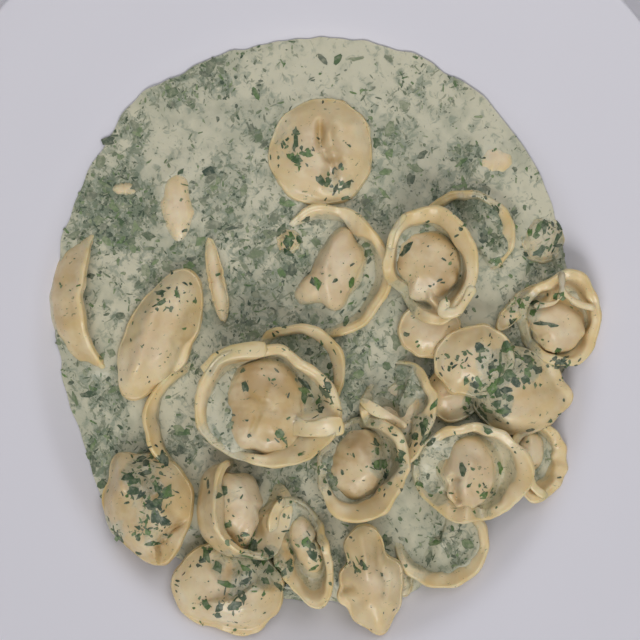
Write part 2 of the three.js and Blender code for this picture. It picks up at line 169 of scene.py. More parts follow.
def write_points(mesh: bpy.types.Mesh, points: np.ndarray) -> None:
    """Moves a mesh's vertices to places given in millimetres."""
    mesh.vertices.foreach_set("co", (points * MM).astype(np.float32).ravel())
    mesh.update()


def read_normals(mesh: bpy.types.Mesh) -> np.ndarray:
    """Returns a mesh's vertex normals, as (n, 3)."""
    flat = np.empty(len(mesh.vertices) * 3, np.float32)
    mesh.vertex_normals.foreach_get("vector", flat)
    return flat.reshape(-1, 3).astype(float)


def set_attribute(mesh: bpy.types.Mesh, name: str, values: np.ndarray) -> None:
    """Gives every vertex a number that a finish can read, in place of one left by a cutter."""
    if name in mesh.attributes:
        mesh.attributes.remove(mesh.attributes[name])
    attribute = mesh.attributes.new(name, "FLOAT", "POINT")
    attribute.data.foreach_set("value", np.asarray(values, np.float32))


def mesh_from(body: bmesh.types.BMesh, name: str) -> bpy.types.Mesh:
    """Turns a bmesh into a new mesh, and frees it."""
    mesh = bpy.data.meshes.new(name)
    body.to_mesh(mesh)
    body.free()
    return mesh


def tree_of(mesh: bpy.types.Mesh) -> BVHTree:
    """Returns a search tree of a mesh, in metres."""
    body = bmesh.new()
    body.from_mesh(mesh)
    tree = BVHTree.FromBMesh(body)
    body.free()
    return tree


def wrap_sphere(name: str, columns: int, table: np.ndarray) -> bpy.types.Mesh:
    """Makes a closed mesh whose rows and columns follow a table of places.

    Args:
        name: the mesh's name.
        columns: the number of columns round the axis.
        table: places in millimetres, as (rows + 1, columns, 3).

    Returns:
        The mesh.
    """
    rows = len(table) - 1
    plain_name = f"ball_{columns}_{rows}"
    if plain_name not in bpy.data.meshes:
        ball = bmesh.new()
        bmesh.ops.create_uvsphere(ball, u_segments=columns, v_segments=rows, radius=1)
        mesh_from(ball, plain_name)
    mesh = bpy.data.meshes[plain_name].copy()
    mesh.name = name
    unit = read_points(mesh) * MM
    row = np.rint(np.arccos(np.clip(unit[:, 2], -1, 1)) * rows / np.pi).astype(int)
    column = np.rint(np.arctan2(unit[:, 1], unit[:, 0]) * columns / (2 * np.pi)).astype(int) % columns
    write_points(mesh, table[row, column])
    return mesh


def add_object(name: str, mesh: bpy.types.Mesh,
               material: bpy.types.Material | None = None) -> bpy.types.Object:
    """Links a new object that holds a mesh, at the origin, and gives it a material if there is one."""
    thing = bpy.data.objects.new(name, mesh)
    bpy.context.scene.collection.objects.link(thing)
    if material:
        mesh.materials.append(material)
    return thing


def joined(meshes: Sequence[bpy.types.Mesh], grow: float = 0) -> bpy.types.Mesh:
    """Gathers copies of several meshes in one, each grown a little along its normals.

    Args:
        meshes: the meshes, which stay as they are.
        grow: millimetres that every vertex moves outwards.

    Returns:
        The new mesh.
    """
    whole = bmesh.new()
    for mesh in meshes:
        copy = mesh.copy()
        if grow:
            write_points(copy, read_points(copy) + grow * read_normals(copy))
        whole.from_mesh(copy)
        bpy.data.meshes.remove(copy)
    result = mesh_from(whole, "gathered")
    result.materials.clear()
    return result


def cut_away(mesh: bpy.types.Mesh, cutter: bpy.types.Mesh) -> bpy.types.Mesh:
    """Returns the mesh without what the cutter holds; the cutter is used up."""
    body = add_object("cut_body", mesh)
    tool = add_object("cut_tool", cutter)
    cut = body.modifiers.new("cut", "BOOLEAN")
    cut.operation = "DIFFERENCE"
    cut.solver = "MANIFOLD"
    cut.object = tool
    shown = body.evaluated_get(bpy.context.evaluated_depsgraph_get())
    result = bpy.data.meshes.new_from_object(shown)
    result.materials.clear()
    bpy.data.objects.remove(body)
    bpy.data.objects.remove(tool)
    bpy.data.meshes.remove(cutter)
    return result


def keep_largest(mesh: bpy.types.Mesh) -> None:
    """Deletes all but the largest connected part of a mesh."""
    body = bmesh.new()
    body.from_mesh(mesh)
    unseen = set(body.verts)
    islands = []
    while unseen:
        start = unseen.pop()
        island, edge_of = [start], [start]
        while edge_of:
            near = [e.other_vert(v) for v in edge_of for e in v.link_edges]
            edge_of = list({v for v in near if v in unseen})
            unseen.difference_update(edge_of)
            island.extend(edge_of)
        islands.append(island)
    islands.sort(key=len)
    loose = [v for island in islands[:-1] for v in island]
    bmesh.ops.delete(body, geom=loose, context="VERTS")
    body.to_mesh(mesh)
    body.free()


def shade_smooth(mesh: bpy.types.Mesh, crease: float) -> None:
    """Shades a mesh smoothly, save across edges sharper than `crease` degrees."""
    mesh.shade_smooth()
    mesh.set_sharp_from_angle(angle=math.radians(crease))


# ---------------------------------------------------------------- shader graphs

LIT = 0.7  # the share of its own colour that a level surface shows under the studio's light
BRIGHTEST = 0.95  # the most light that a finish gives back


def linear(red: float, green: float, blue: float) -> Triple:
    """Turns a display colour of 0 to 255 into linear values."""
    shares = [channel / 255 for channel in (red, green, blue)]
    return tuple(s / 12.92 if s <= 0.04045 else ((s + 0.055) / 1.055) ** 2.4 for s in shares)


def paint(red: float, green: float, blue: float) -> tuple[float, float, float, float]:
    """Turns a colour as it shows on a lit level surface into the finish's own colour."""
    return tuple(min(channel / LIT, BRIGHTEST) for channel in linear(red, green, blue)) + (1.0,)


class Value:
    """A number on a node's output, so that shader maths is written as an expression."""

    def __init__(self, graph: "Graph", socket: bpy.types.NodeSocket) -> None:
        """Wraps an output socket of a graph."""
        self.graph = graph
        self.socket = socket

    def __add__(self, other: "Value | float") -> "Value":
        """Adds."""
        return self.graph.maths("ADD", self, other)

    def __sub__(self, other: "Value | float") -> "Value":
        """Subtracts."""
        return self.graph.maths("SUBTRACT", self, other)

    def __mul__(self, other: "Value | float") -> "Value":
        """Multiplies."""
        return self.graph.maths("MULTIPLY", self, other)


class Graph:
    """The node graph of one material."""

    def __init__(self, name: str) -> None:
        """Starts an empty material."""
        self.material = bpy.data.materials.new(name)
        self.material.use_nodes = True
        self.material.node_tree.nodes.clear()

    def node(self, kind: str, settings: dict | None = None, inputs: dict | None = None) -> bpy.types.Node:
        """Adds a node.

        Args:
            kind: the node's type without its "ShaderNode" prefix.
            settings: its properties, set first.
            inputs: values or links of its sockets, by name or number.

        Returns:
            The node.
        """
        node = self.material.node_tree.nodes.new("ShaderNode" + kind)
        for name, value in (settings or {}).items():
            setattr(node, name, value)
        for name, value in (inputs or {}).items():
            self.feed(node.inputs[name], value)
        return node

    def feed(self, socket: bpy.types.NodeSocket, value: object) -> None:
        """Links a socket to a value's output, or sets it."""
        if isinstance(value, Value):
            value = value.socket
        if isinstance(value, bpy.types.NodeSocket):
            self.material.node_tree.links.new(value, socket)
        else:
            socket.default_value = value

    def maths(self, operation: str, *terms: Value | float) -> Value:
        """Adds a Math node."""
        node = self.node("Math", {"operation": operation}, dict(enumerate(terms)))
        return Value(self, node.outputs[0])

    def place(self, stretch: Triple = (1, 1, 1), turn: float = 0) -> bpy.types.NodeSocket:
        """Returns the object's own coordinates, so that features stretch along axes turned about Z."""
        whole = self.node("TexCoord").outputs["Object"]
        if stretch == (1, 1, 1) and not turn:
            return whole
        inputs = {"Vector": whole, "Scale": stretch, "Rotation": (0, 0, math.radians(turn))}
        return self.node("Mapping", {"vector_type": "TEXTURE"}, inputs).outputs[0]

    def noise(self, length: float, detail: float = 3, rough: float = 0.55, warp: float = 0,
              where: bpy.types.NodeSocket | None = None) -> Value:
        """Adds noise with features of a given length in millimetres."""
        inputs = {"Vector": where or self.place(), "Scale": 1 / (length * MM), "Detail": detail,
                  "Roughness": rough, "Distortion": warp}
        return Value(self, self.node("TexNoise", None, inputs).outputs[0])

    def mask(self, value: Value, low: float, high: float) -> Value:
        """Returns a share that rises softly while the value goes from low to high."""
        inputs = {0: value, 1: low, 2: high}
        return Value(self, self.node("MapRange", {"interpolation_type": "SMOOTHSTEP"}, inputs).outputs[0])

    def attribute(self, name: str) -> Value:
        """Reads a number that the mesh's vertices carry."""
        return Value(self, self.node("Attribute", {"attribute_name": name}).outputs["Fac"])

    def mix(self, share: Value | float, first: object, second: object) -> bpy.types.NodeSocket:
        """Mixes two colours."""
        inputs = {0: share, 6: first, 7: second}
        return self.node("Mix", {"data_type": "RGBA"}, inputs).outputs[2]

    def layered(self, colour: object, layers: Sequence[tuple[Value, Triple]]) -> bpy.types.NodeSocket:
        """Lays display colours over a first colour, each by its own share."""
        for share, tint in layers:
            colour = self.mix(share, colour, paint(*tint))
        return colour

    def bump(self, height: Value, depth: float, strength: float = 1) -> bpy.types.NodeSocket:
        """Turns a height into a normal; depth is in millimetres."""
        inputs = {"Height": height, "Distance": depth * MM, "Strength": strength}
        return self.node("Bump", None, inputs).outputs[0]

    def finish(self, inputs: dict) -> bpy.types.Material:
        """Ends the graph in a Principled shader with these sockets, and returns the material."""
        shader = self.node("BsdfPrincipled", None, inputs)
        self.node("OutputMaterial", None, {"Surface": shader.outputs[0]})
        return self.material


# ---------------------------------------------------------------- finishes


@dataclass(frozen=True)
class Glaze:
    """Smooth white porcelain glaze, very slightly cloudy."""

    light: Triple = (199, 198, 206)
    shade: Triple = (197, 196, 204)
    roughness: float = 0.38

    def material(self) -> bpy.types.Material:
        """Returns the glaze's material."""
        graph = Graph("white_glaze")
        colour = graph.layered(paint(*self.shade), [(graph.noise(60, 2), self.light)])
        return graph.finish({
            "Base Color": colour, "Roughness": graph.noise(25, 2) * 0.06 + self.roughness,
            "Specular IOR Level": 0.28, "Normal": graph.bump(graph.noise(14, 1), 0.02),
        })


@dataclass(frozen=True)
class CreamLook:
    """How cream looks with chopped spinach on and below its surface."""

    pale: Triple = (181, 178, 157)
    deep: Triple = (161, 161, 141)
    sunk: Triple = (106, 119, 103)
    leaf: Triple = (72, 90, 66)
    dark: Triple = (50, 66, 48)

    def paint_on(self, graph: Graph, murk: Value) -> tuple[bpy.types.NodeSocket, Value]:
        """Adds the look to a graph.

        Args:
            graph: the material's graph.
            murk: how thick the spinach lies, from about -1.5 to 2.

        Returns:
            The colour, and the share of leaf at the surface.
        """
        clouds = graph.mask(graph.noise(22, 4, 0.6) - murk * 0.08, 0.4, 0.6)
        haze = graph.mask(graph.noise(3, 5, 0.62, 0.9) + murk * 0.075, 0.49, 0.66)
        thick = murk * 0.07
        # Shreds lie in three directions, each given by length, direction, and where they start and are full.
        drifts = [(1.5, 35, 0.62, 0.7), (1.3, -50, 0.64, 0.71), (1.1, 95, 0.64, 0.72)]
        shreds = 0.0
        for length, turn, low, high in drifts:
            lines = graph.noise(length, 3, 0.5, 0.5, graph.place((2.3, 1, 1), turn))
            shreds = graph.mask(lines + thick, low, high) + shreds
        shreds = graph.maths("MINIMUM", shreds, 1.0)
        bits = graph.mask(graph.noise(1.4, 2, 0.5, 0.4, graph.place(turn=60)) + thick, 0.68, 0.75)
        layers = [(clouds, self.pale), (haze * 0.6, self.sunk), (shreds * 0.55, self.leaf),
                  (bits * 0.85, self.dark)]
        return graph.layered(paint(*self.deep), layers), shreds


@dataclass(frozen=True)
class Dough:
    """Cooked egg dough, wet with cream: paler at its thin edges, browner over the filling, with painted
    shade in its folds and hollows.
    """

    body: Triple = (203, 184, 145)
    thin: Triple = (198, 177, 130)
    filled: Triple = (190, 170, 140)
    yolk: Triple = (192, 166, 108)
    cloud: Triple = (216, 203, 176)
    green: Triple = (96, 106, 76)
    # The colour that both a piece's own browning and the painted shade in its folds and hollows darken the
    # dough towards.
    brown: Triple = (156, 128, 82)

    def material(self) -> bpy.types.Material:
        """Returns the dough's material."""
        graph = Graph("egg_dough")
        cloudy = graph.mask(graph.noise(9, 3), 0.34, 0.72)
        yolk = graph.mask(graph.noise(14, 2, where=graph.place(turn=40)), 0.4, 0.72)
        # The dark layer below mixes each piece's own browning with painted shade in folds, down the brims'
        # inner walls and along the pockets' edges.
        colour = graph.layered(paint(*self.body), [
            (graph.attribute("thin"), self.thin), (graph.attribute("filled") * 0.8, self.filled),
            (graph.attribute("tone_and_shade"), self.brown), (cloudy * 0.6, self.cloud), (yolk * 0.4, self.yolk),
        ])
        cream, _ = CreamLook().paint_on(graph, graph.attribute("murk") * 0.4)
        film = graph.mask(graph.attribute("film") + graph.noise(2.6, 5, 0.62, 0.6), 0.86, 1.34)
        specks = graph.noise(1.0, 3, 0.55, 0.6, graph.place((1.8, 1, 1), 20)) + graph.noise(7, 3) * 0.3
        specks = graph.mask(specks, 0.81, 0.86) * 0.7
        colour = graph.layered(graph.mix(film * 0.66, colour, cream), [(specks, self.green)])
        fine = graph.noise(1.1, 3, 0.55) * 0.25 + graph.noise(3.4, 3) * 0.6 + film * 0.3
        return graph.finish({
            "Base Color": colour, "Roughness": graph.noise(4, 3) * 0.24 + 0.28,
            "Specular IOR Level": 0.5, "Subsurface Weight": 0.35, "Subsurface Radius": (1.0, 0.6, 0.3),
            "Subsurface Scale": 0.002, "Coat Weight": graph.mask(graph.noise(6, 2), 0.36, 0.62) * 0.6,
            "Coat Roughness": 0.18, "Normal": graph.bump(fine, 0.3, 0.5),
        })


@dataclass(frozen=True)
class Cream:
    """Cream sauce, cloudy with spinach."""

    def material(self) -> bpy.types.Material:
        """Returns the sauce's material."""
        graph = Graph("spinach_cream")
        colour, leaf = CreamLook().paint_on(graph, graph.attribute("murk"))
        relief = graph.noise(2.4, 4, 0.55) * 0.5 + leaf * 0.25
        return graph.finish({
            "Base Color": colour, "Roughness": graph.noise(3, 3) * 0.2 + 0.28, "Specular IOR Level": 0.38,
            "Subsurface Weight": 0.15, "Subsurface Radius": (1.0, 0.8, 0.5), "Subsurface Scale": 0.001,
            "Coat Weight": 0.15, "Coat Roughness": 0.15, "Normal": graph.bump(relief, 0.45, 0.7),
        })


@dataclass(frozen=True)
class Leaf:
    """Cooked spinach, from blue-green to bright green, veiled by cream."""

    dark: Triple = (46, 64, 50)
    bright: Triple = (84, 116, 58)
    spot: Triple = (38, 54, 42)
    veil: Triple = (158, 158, 136)

    def material(self) -> bpy.types.Material:
        """Returns the spinach's material."""
        graph = Graph("cooked_spinach")
        mottle = graph.mask(graph.noise(0.9, 3), 0.4, 0.65) * 0.4
        creamy = graph.mask(graph.noise(1.6, 3, 0.6), 0.42, 0.64) * 0.3 + graph.attribute("veil")
        layers = [(graph.attribute("bright"), self.bright), (mottle, self.spot), (creamy, self.veil)]
        colour = graph.layered(paint(*self.dark), layers)
        return graph.finish({
            "Base Color": colour, "Roughness": graph.noise(1.5, 2) * 0.25 + 0.25,
            "Specular IOR Level": 0.45, "Normal": graph.bump(graph.noise(0.7, 3), 0.15, 0.6),
        })


@dataclass(frozen=True)
class TableTop:
    """A plain pale table."""

    light: Triple = (196, 195, 201)
    shade: Triple = (192, 191, 197)

    def material(self) -> bpy.types.Material:
        """Returns the table's material."""
        graph = Graph("pale_table")
        colour = graph.layered(paint(*self.shade), [(graph.noise(90, 3), self.light)])
        return graph.finish({"Base Color": colour, "Roughness": 0.6})


# ---------------------------------------------------------------- plate


@dataclass
class Plate:
    """The wide-rimmed plate, slightly longer along Y; its well holds the food."""

    well_radius: float = 87.4
    rim_radius: float = 134.4
    length_ratio: float = 1.1225
    floor_share: float = 0.6
    floor_height: float = 6.5
    lip_height: float = 29
    rim_height: float = 34.45
    thickness: float = 4.6
    wall_curve: float = 1.45
    foot_radius: float = 57
    foot_width: float = 6
    foot_height: float = 3.2
    spin_steps: int = 168

    def well_height(self, share: np.ndarray | float) -> np.ndarray | float:
        """Returns the height of the well's surface at a share of the lip's radius."""
        climb = np.clip((share - self.floor_share) / (1 - self.floor_share), 0, 1)
        return lerp(self.floor_height, self.lip_height, climb ** self.wall_curve)

    def corners(self) -> list[Triple]:
        """Returns the section's corners as radius, height and rounding, from the floor to the underside."""
        well, rim, lip, top = self.well_radius, self.rim_radius, self.lip_height, self.rim_height
        foot, foot_inside = self.foot_radius, self.foot_radius - self.foot_width
        wall = [well * lerp(self.floor_share, 0.93, step / 9) for step in range(10)]
        upper = [(radius, float(self.well_height(radius / well)), 1.5) for radius in wall]
        return [
            (0, self.floor_height, 0), *upper, (well + 1.2, lip + 0.1, 4.5),
            (lerp(well, rim, 0.5), lerp(lip, top, 0.4), 10), (rim - 0.6, top, 1.1), (rim, top - 1.8, 0.9),
            (rim - 2, top - 3.6, 1), (well + 6, lip - self.thickness, 6),
            (well - 9, lip - self.thickness - 11, 8), (foot + 4, self.foot_height - 0.4, 1.2),
            (foot, 0, 0.6), (foot_inside, 0, 0.6), (foot_inside - 1.5, self.foot_height - 1, 0.6),
            (0, self.foot_height - 1, 0),
        ]

    def section(self) -> list[Point]:
        """Returns the section with every corner rounded by a short curve."""
        corners = self.corners()
        steps = 5
        path = [corners[0][:2]]
        for before, corner, after in zip(corners, corners[1:], corners[2:]):
            middle = np.array(corner[:2])
            ends = []
            for other in (before, after):
                way = np.array(other[:2]) - middle
                length = float(np.linalg.norm(way))
                ends.append(middle + way / length * min(corner[2], 0.45 * length))
            for step in range(steps + 1):
                t = step / steps
                path.append(tuple(ends[0] * (1 - t) ** 2 + middle * 2 * t * (1 - t) + ends[1] * t * t))
        path.append(corners[-1][:2])
        return path

    def build(self) -> bpy.types.Object:
        """Spins the section into the oval plate."""
        body = bmesh.new()
        points = [body.verts.new((radius * MM, 0, height * MM)) for radius, height in self.section()]
        edges = [body.edges.new(pair) for pair in zip(points, points[1:])]
        bmesh.ops.spin(body, geom=points + edges, cent=(0, 0, 0), axis=(0, 0, 1), angle=2 * math.pi,
                       steps=self.spin_steps, use_merge=True)
        bmesh.ops.remove_doubles(body, verts=body.verts, dist=1e-6)
        bmesh.ops.scale(body, verts=body.verts, vec=(1, self.length_ratio, 1))
        bmesh.ops.recalc_face_normals(body, faces=body.faces)
        mesh = mesh_from(body, "plate")
        shade_smooth(mesh, 60)
        plate = add_object("pasta_plate", mesh, Glaze().material())
        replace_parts(plate, "plate")
        return plate


# ---------------------------------------------------------------- tortellini


@dataclass(frozen=True)
class Swell:
    """A stretch of the way round a piece, strongest at its middle."""

    at: float
    width: float
    by: float


def swells(stretches: Sequence[Swell], direction: np.ndarray) -> np.ndarray:
    """Returns the sum of several swells in each direction."""
    total = np.zeros_like(direction, dtype=float)
    for stretch in stretches:
        total += stretch.by * sector(direction, stretch.at, stretch.width)
    return total


class FoldKind(Enum):
    """How the dough stands along a fold."""

    RIDGE = "ridge"
    CREASE = "crease"
    LAP = "lap"


RIDGE, CREASE, LAP = FoldKind


@dataclass(frozen=True)
class Fold:
    """A line in the dough, through places given as direction and share of the outline's radius.

    A lap stands up to its full height on the left of its line and runs out over `spread`. Every fold
    fades over the share `fade` of its length at each end.
    """

    kind: FoldKind
    points: tuple[Point, ...]
    height: float
    width: float = 1.0
    spread: float = 6.0
    fade: float = 0.18

    def measure(self, piece: "Tortellino", places: np.ndarray) -> tuple[np.ndarray, np.ndarray]:
        """Measures places of the piece's own frame against the line.

        Args:
            piece: the piece that is folded.
            places: places in millimetres, as (n, 3).

        Returns:
            The distance to the line, positive on its left, and a share that fades at the line's ends.
        """
        x, y = places[:, 0], places[:, 1]
        line = [piece.polar(*point) for point in self.points]
        nearest = np.full(x.shape, np.inf)
        side = np.zeros(x.shape)
        run = np.zeros(x.shape)
        spans = list(zip(line, line[1:]))
        for order, ((x0, y0), (x1, y1)) in enumerate(spans):
            length = math.hypot(x1 - x0, y1 - y0)
            ahead = ((x - x0) * (x1 - x0) + (y - y0) * (y1 - y0)) / length ** 2
            t = np.clip(ahead, 0, 1)
            gap = np.hypot(x - x0 - t * (x1 - x0), y - y0 - t * (y1 - y0))
            left = ((x1 - x0) * (y - y0) - (y1 - y0) * (x - x0)) / length
            closer = gap < nearest
            nearest = np.where(closer, gap, nearest)
            side = np.where(closer, left, side)
            run = np.where(closer, (order + t) / len(spans), run)
        return np.sign(side) * nearest, smooth(run, 0, self.fade) * smooth(1 - run, 0, self.fade)

    def lift(self, piece: "Tortellino", places: np.ndarray) -> np.ndarray:
        """Returns how far the surface is raised at places of the piece's own frame."""
        gap, ends = self.measure(piece, places)
        if self.kind is LAP:
            rise = smooth(gap, -self.width, self.width * 0.3) * np.exp(-np.maximum(gap, 0) / self.spread)
            return self.height * rise * (0.1 + 0.9 * ends)
        shape = np.exp(-((gap / self.width) ** 2))
        return self.height * shape * ends * (1 if self.kind is RIDGE else -1)

    def depth(self, piece: "Tortellino", places: np.ndarray) -> np.ndarray:
        """Returns a share that is high down in the fold, where painted shade darkens the dough."""
        if self.kind is RIDGE:
            return np.zeros(len(places))
        gap, ends = self.measure(piece, places)
        middle = -1.1 * self.width if self.kind is LAP else 0
        return ends * np.exp(-(((gap - middle) / (1.1 * self.width + 0.3)) ** 2))


@dataclass(frozen=True)
class Strip:
    """A sheet of dough along a line of places: direction, share of the outline's radius, height.

    It rolls about its line by `roll` degrees, and narrows to blunt ends over the share `blunt` of its
    length. Its section is an ellipse squared off by `corner`, whose width wavers by the share `waver`.
    """

    points: tuple[Triple, ...]
    width: float = 3.0
    thickness: float = 1.6
    blunt: float = 0.12
    roll: float = 0
    corner: float = 0.8
    waver: float = 0.12

    def surface(self, piece: "Tortellino", name: str) -> bpy.types.Mesh:
        """Makes the sheet's closed mesh in the piece's own frame."""
        columns, rows = 28, 56
        line = np.array([(*piece.polar(at, share), height) for at, share, height in self.points])
        knots = np.concatenate([2 * line[:1] - line[1:2], line, 2 * line[-1:] - line[-2:-1]])
        steps = np.linspace(0, len(line) - 1, rows + 1)
        span = np.minimum(steps.astype(int), len(line) - 2)
        middle = between([knots[span + shift] for shift in range(4)], (steps - span)[:, None])
        ahead = np.gradient(middle, axis=0)
        ahead /= np.linalg.norm(ahead, axis=1)[:, None]
        aside = np.cross(ahead, [0, 0, 1.0])
        aside /= np.linalg.norm(aside, axis=1)[:, None]
        upward = np.cross(aside, ahead)
        lean = math.radians(self.roll)
        wide = aside * math.cos(lean) + upward * math.sin(lean)
        tall = upward * math.cos(lean) - aside * math.sin(lean)
        run = np.linspace(0, 1, rows + 1)
        ends = np.clip(np.minimum(run, 1 - run) / self.blunt, 0, 1)
        fullness = np.sqrt(1 - (1 - ends) ** 2)
        angle = np.arange(columns) * 2 * np.pi / columns
        across = np.sign(np.cos(angle)) * np.abs(np.cos(angle)) ** self.corner * self.width / 2
        above = np.sign(np.sin(angle)) * np.abs(np.sin(angle)) ** self.corner * self.thickness / 2
        wavering = 1 + self.waver * np.sin(run * 9 + piece.number)
        table = (middle[:, None] + wide[:, None] * (across * (fullness * wavering)[:, None])[..., None]
                 + tall[:, None] * (above * fullness[:, None])[..., None])
        return wrap_sphere(name, columns, table)


@dataclass(frozen=True)
class Tortellino:
    """One piece of filled pasta: an uneven oval outline, stood in the plate by its lean and tilt.

    Its number in the heap picks the waves of its unevenness.
    """

    at: Triple
    radii: Point
    turn: float = 0
    lean: float = 0
    tilt: float = 0
    shift: Point = (0, 0)
    points: tuple[Swell, ...] = ()
    rim: tuple[Swell, ...] = ()
    folds: tuple[Fold, ...] = ()
    strips: tuple[Strip, ...] = ()
    columns: int = 120
    row_steps: int = 4
    uneven_outline: float = 0.035
    wobbly_outline: float = 0.22
    grain: float = 0.18
    # How far the piece is browned, most over its filling; on a ring it also deepens the painted shade down
    # the brim's inner wall.
    tone_and_shade: float = 0
    wet: float = 0.8
    number: int = 0

    @property
    def name(self) -> str:
        """Returns the name of the piece's node."""
        return f"tortellino_{self.number:02d}"

    def unevenness(self, direction: np.ndarray, extra: int = 0) -> np.ndarray:
        """Returns hand-made unevenness between about -1 and 1, closed round the circle."""
        angle, number = np.radians(direction), self.number + extra
        lobes = ((0.5, 2, 2.4), (0.35, 3, 4.1), (0.15, 5, 1.3))
        return sum(size * np.sin(count * angle + phase * number) for size, count, phase in lobes)

    def outline(self, direction: np.ndarray) -> np.ndarray:
        """Returns the outline's radius in each direction."""
        uneven = self.uneven_outline * self.unevenness(direction)
        oval = ellipse_radius(direction, self.radii, self.turn)
        wobbly = self.wobbly_outline * self.wobble(direction)
        return oval * (1 + uneven + swells(self.points, direction)) + wobbly

    def wobble(self, direction: np.ndarray, extra: int = 0) -> np.ndarray:
        """Returns finer unevenness, between about -1 and 1, closed round the circle."""
        draw = np.random.default_rng(self.number + extra)
        angle = np.radians(direction)
        total = np.zeros_like(angle)
        for lobes in (4, 6, 7, 9, 11):
            total += draw.uniform(0.2, 0.7) * np.sin(lobes * angle + draw.uniform(0, 2 * np.pi))
        return total

    def polar(self, direction: float, share: float) -> Point:
        """Returns the place at a direction and a share of the outline's radius, in millimetres."""
        reach = share * float(self.outline(np.array([float(direction)]))[0])
        return reach * math.cos(math.radians(direction)), reach * math.sin(math.radians(direction))

    def placement(self) -> Matrix:
        """Returns the move from the piece's own frame into the plate, in millimetres."""
        lean = math.radians(self.lean)
        axis = Vector((-math.sin(lean), math.cos(lean), 0))
        return Matrix.Translation(self.at) @ Matrix.Rotation(math.radians(self.tilt), 4, axis)

    def ring_of(self, reach: np.ndarray, height: np.ndarray | float, direction: np.ndarray,
                follow: float = 0) -> np.ndarray:
        """Returns one row of a section: a reach and a height in each direction, moved with the shift."""
        flat = along(direction) * np.broadcast_to(reach, direction.shape)[:, None]
        flat = flat + follow * np.array(self.shift)
        upright = np.broadcast_to(height, direction.shape)[:, None]
        return np.concatenate([flat, upright], axis=1)

    def section(self, direction: np.ndarray) -> np.ndarray:
        """Returns the rows of the section in each direction, as (rows, columns, 3)."""
        raise NotImplementedError

    def marks(self, local: np.ndarray) -> dict[str, np.ndarray]:
        """Returns what the finish reads at places of the piece's own frame: thin, filled, and a share of
        browning and painted shade.
        """
        raise NotImplementedError

    def surface(self) -> bpy.types.Mesh:
        """Makes the piece's closed mesh, placed in the plate."""
        direction = np.arange(self.columns) * 360 / self.columns
        table = curve_rows(self.section(direction), self.row_steps)
        mesh = wrap_sphere(self.name, self.columns, table)
        points = read_points(mesh)
        upper = smooth(read_normals(mesh)[:, 2], -0.25, 0.25)
        for fold in self.folds:
            points[:, 2] += upper * fold.lift(self, points)
        write_points(mesh, points)
        self.roughen(mesh)
        return self.placed(mesh)

    def roughen(self, mesh: bpy.types.Mesh) -> None:
        """Makes a surface as uneven as hand-made dough."""
        points = read_points(mesh)
        waves = summed_ripples(points, ((1, 9, 100 + self.number), (0.45, 4, 200 + self.number)))
        points += (self.grain * waves)[:, None] * read_normals(mesh)
        write_points(mesh, points)

    def placed(self, mesh: bpy.types.Mesh) -> bpy.types.Mesh:
        """Moves a mesh from the piece's own frame into the plate, and returns it."""
        mesh.transform(Matrix.Scale(MM, 4) @ self.placement() @ Matrix.Scale(1 / MM, 4))
        return mesh

    def sheets(self) -> list[bpy.types.Mesh]:
        """Makes the strips of dough that lie on the piece, placed in the plate."""
        made = [strip.surface(self, "sheet") for strip in self.strips]
        for mesh in made:
            self.roughen(mesh)
        return [self.placed(mesh) for mesh in made]

    def at_home(self, points: np.ndarray) -> np.ndarray:
        """Returns places in the plate as places in the piece's own frame."""
        home = np.array(self.placement().inverted())
        return points @ home[:3, :3].T + home[:3, 3]

    def puddle(self, points: np.ndarray) -> np.ndarray:
        """Returns how thickly cream from the piece's own hollow lies at places in the plate."""
        return np.zeros(len(points))

    def pool_surface(self) -> bpy.types.Mesh | None:
        """Makes the sauce that stands in the piece's own hollow, or None where there is none."""
        return None

    def dress(self, mesh: bpy.types.Mesh) -> None:
        """Gives the finished mesh the numbers that the dough's finish reads."""
        local = self.at_home(read_points(mesh))
        marks = self.marks(local)
        # Painted shade: every crease and lap darkens the dough down in its fold.
        for fold in self.folds:
            marks["tone_and_shade"] = marks["tone_and_shade"] + 0.5 * fold.depth(self, local)
        for name, values in marks.items():
            set_attribute(mesh, name, np.clip(values, 0, 1))


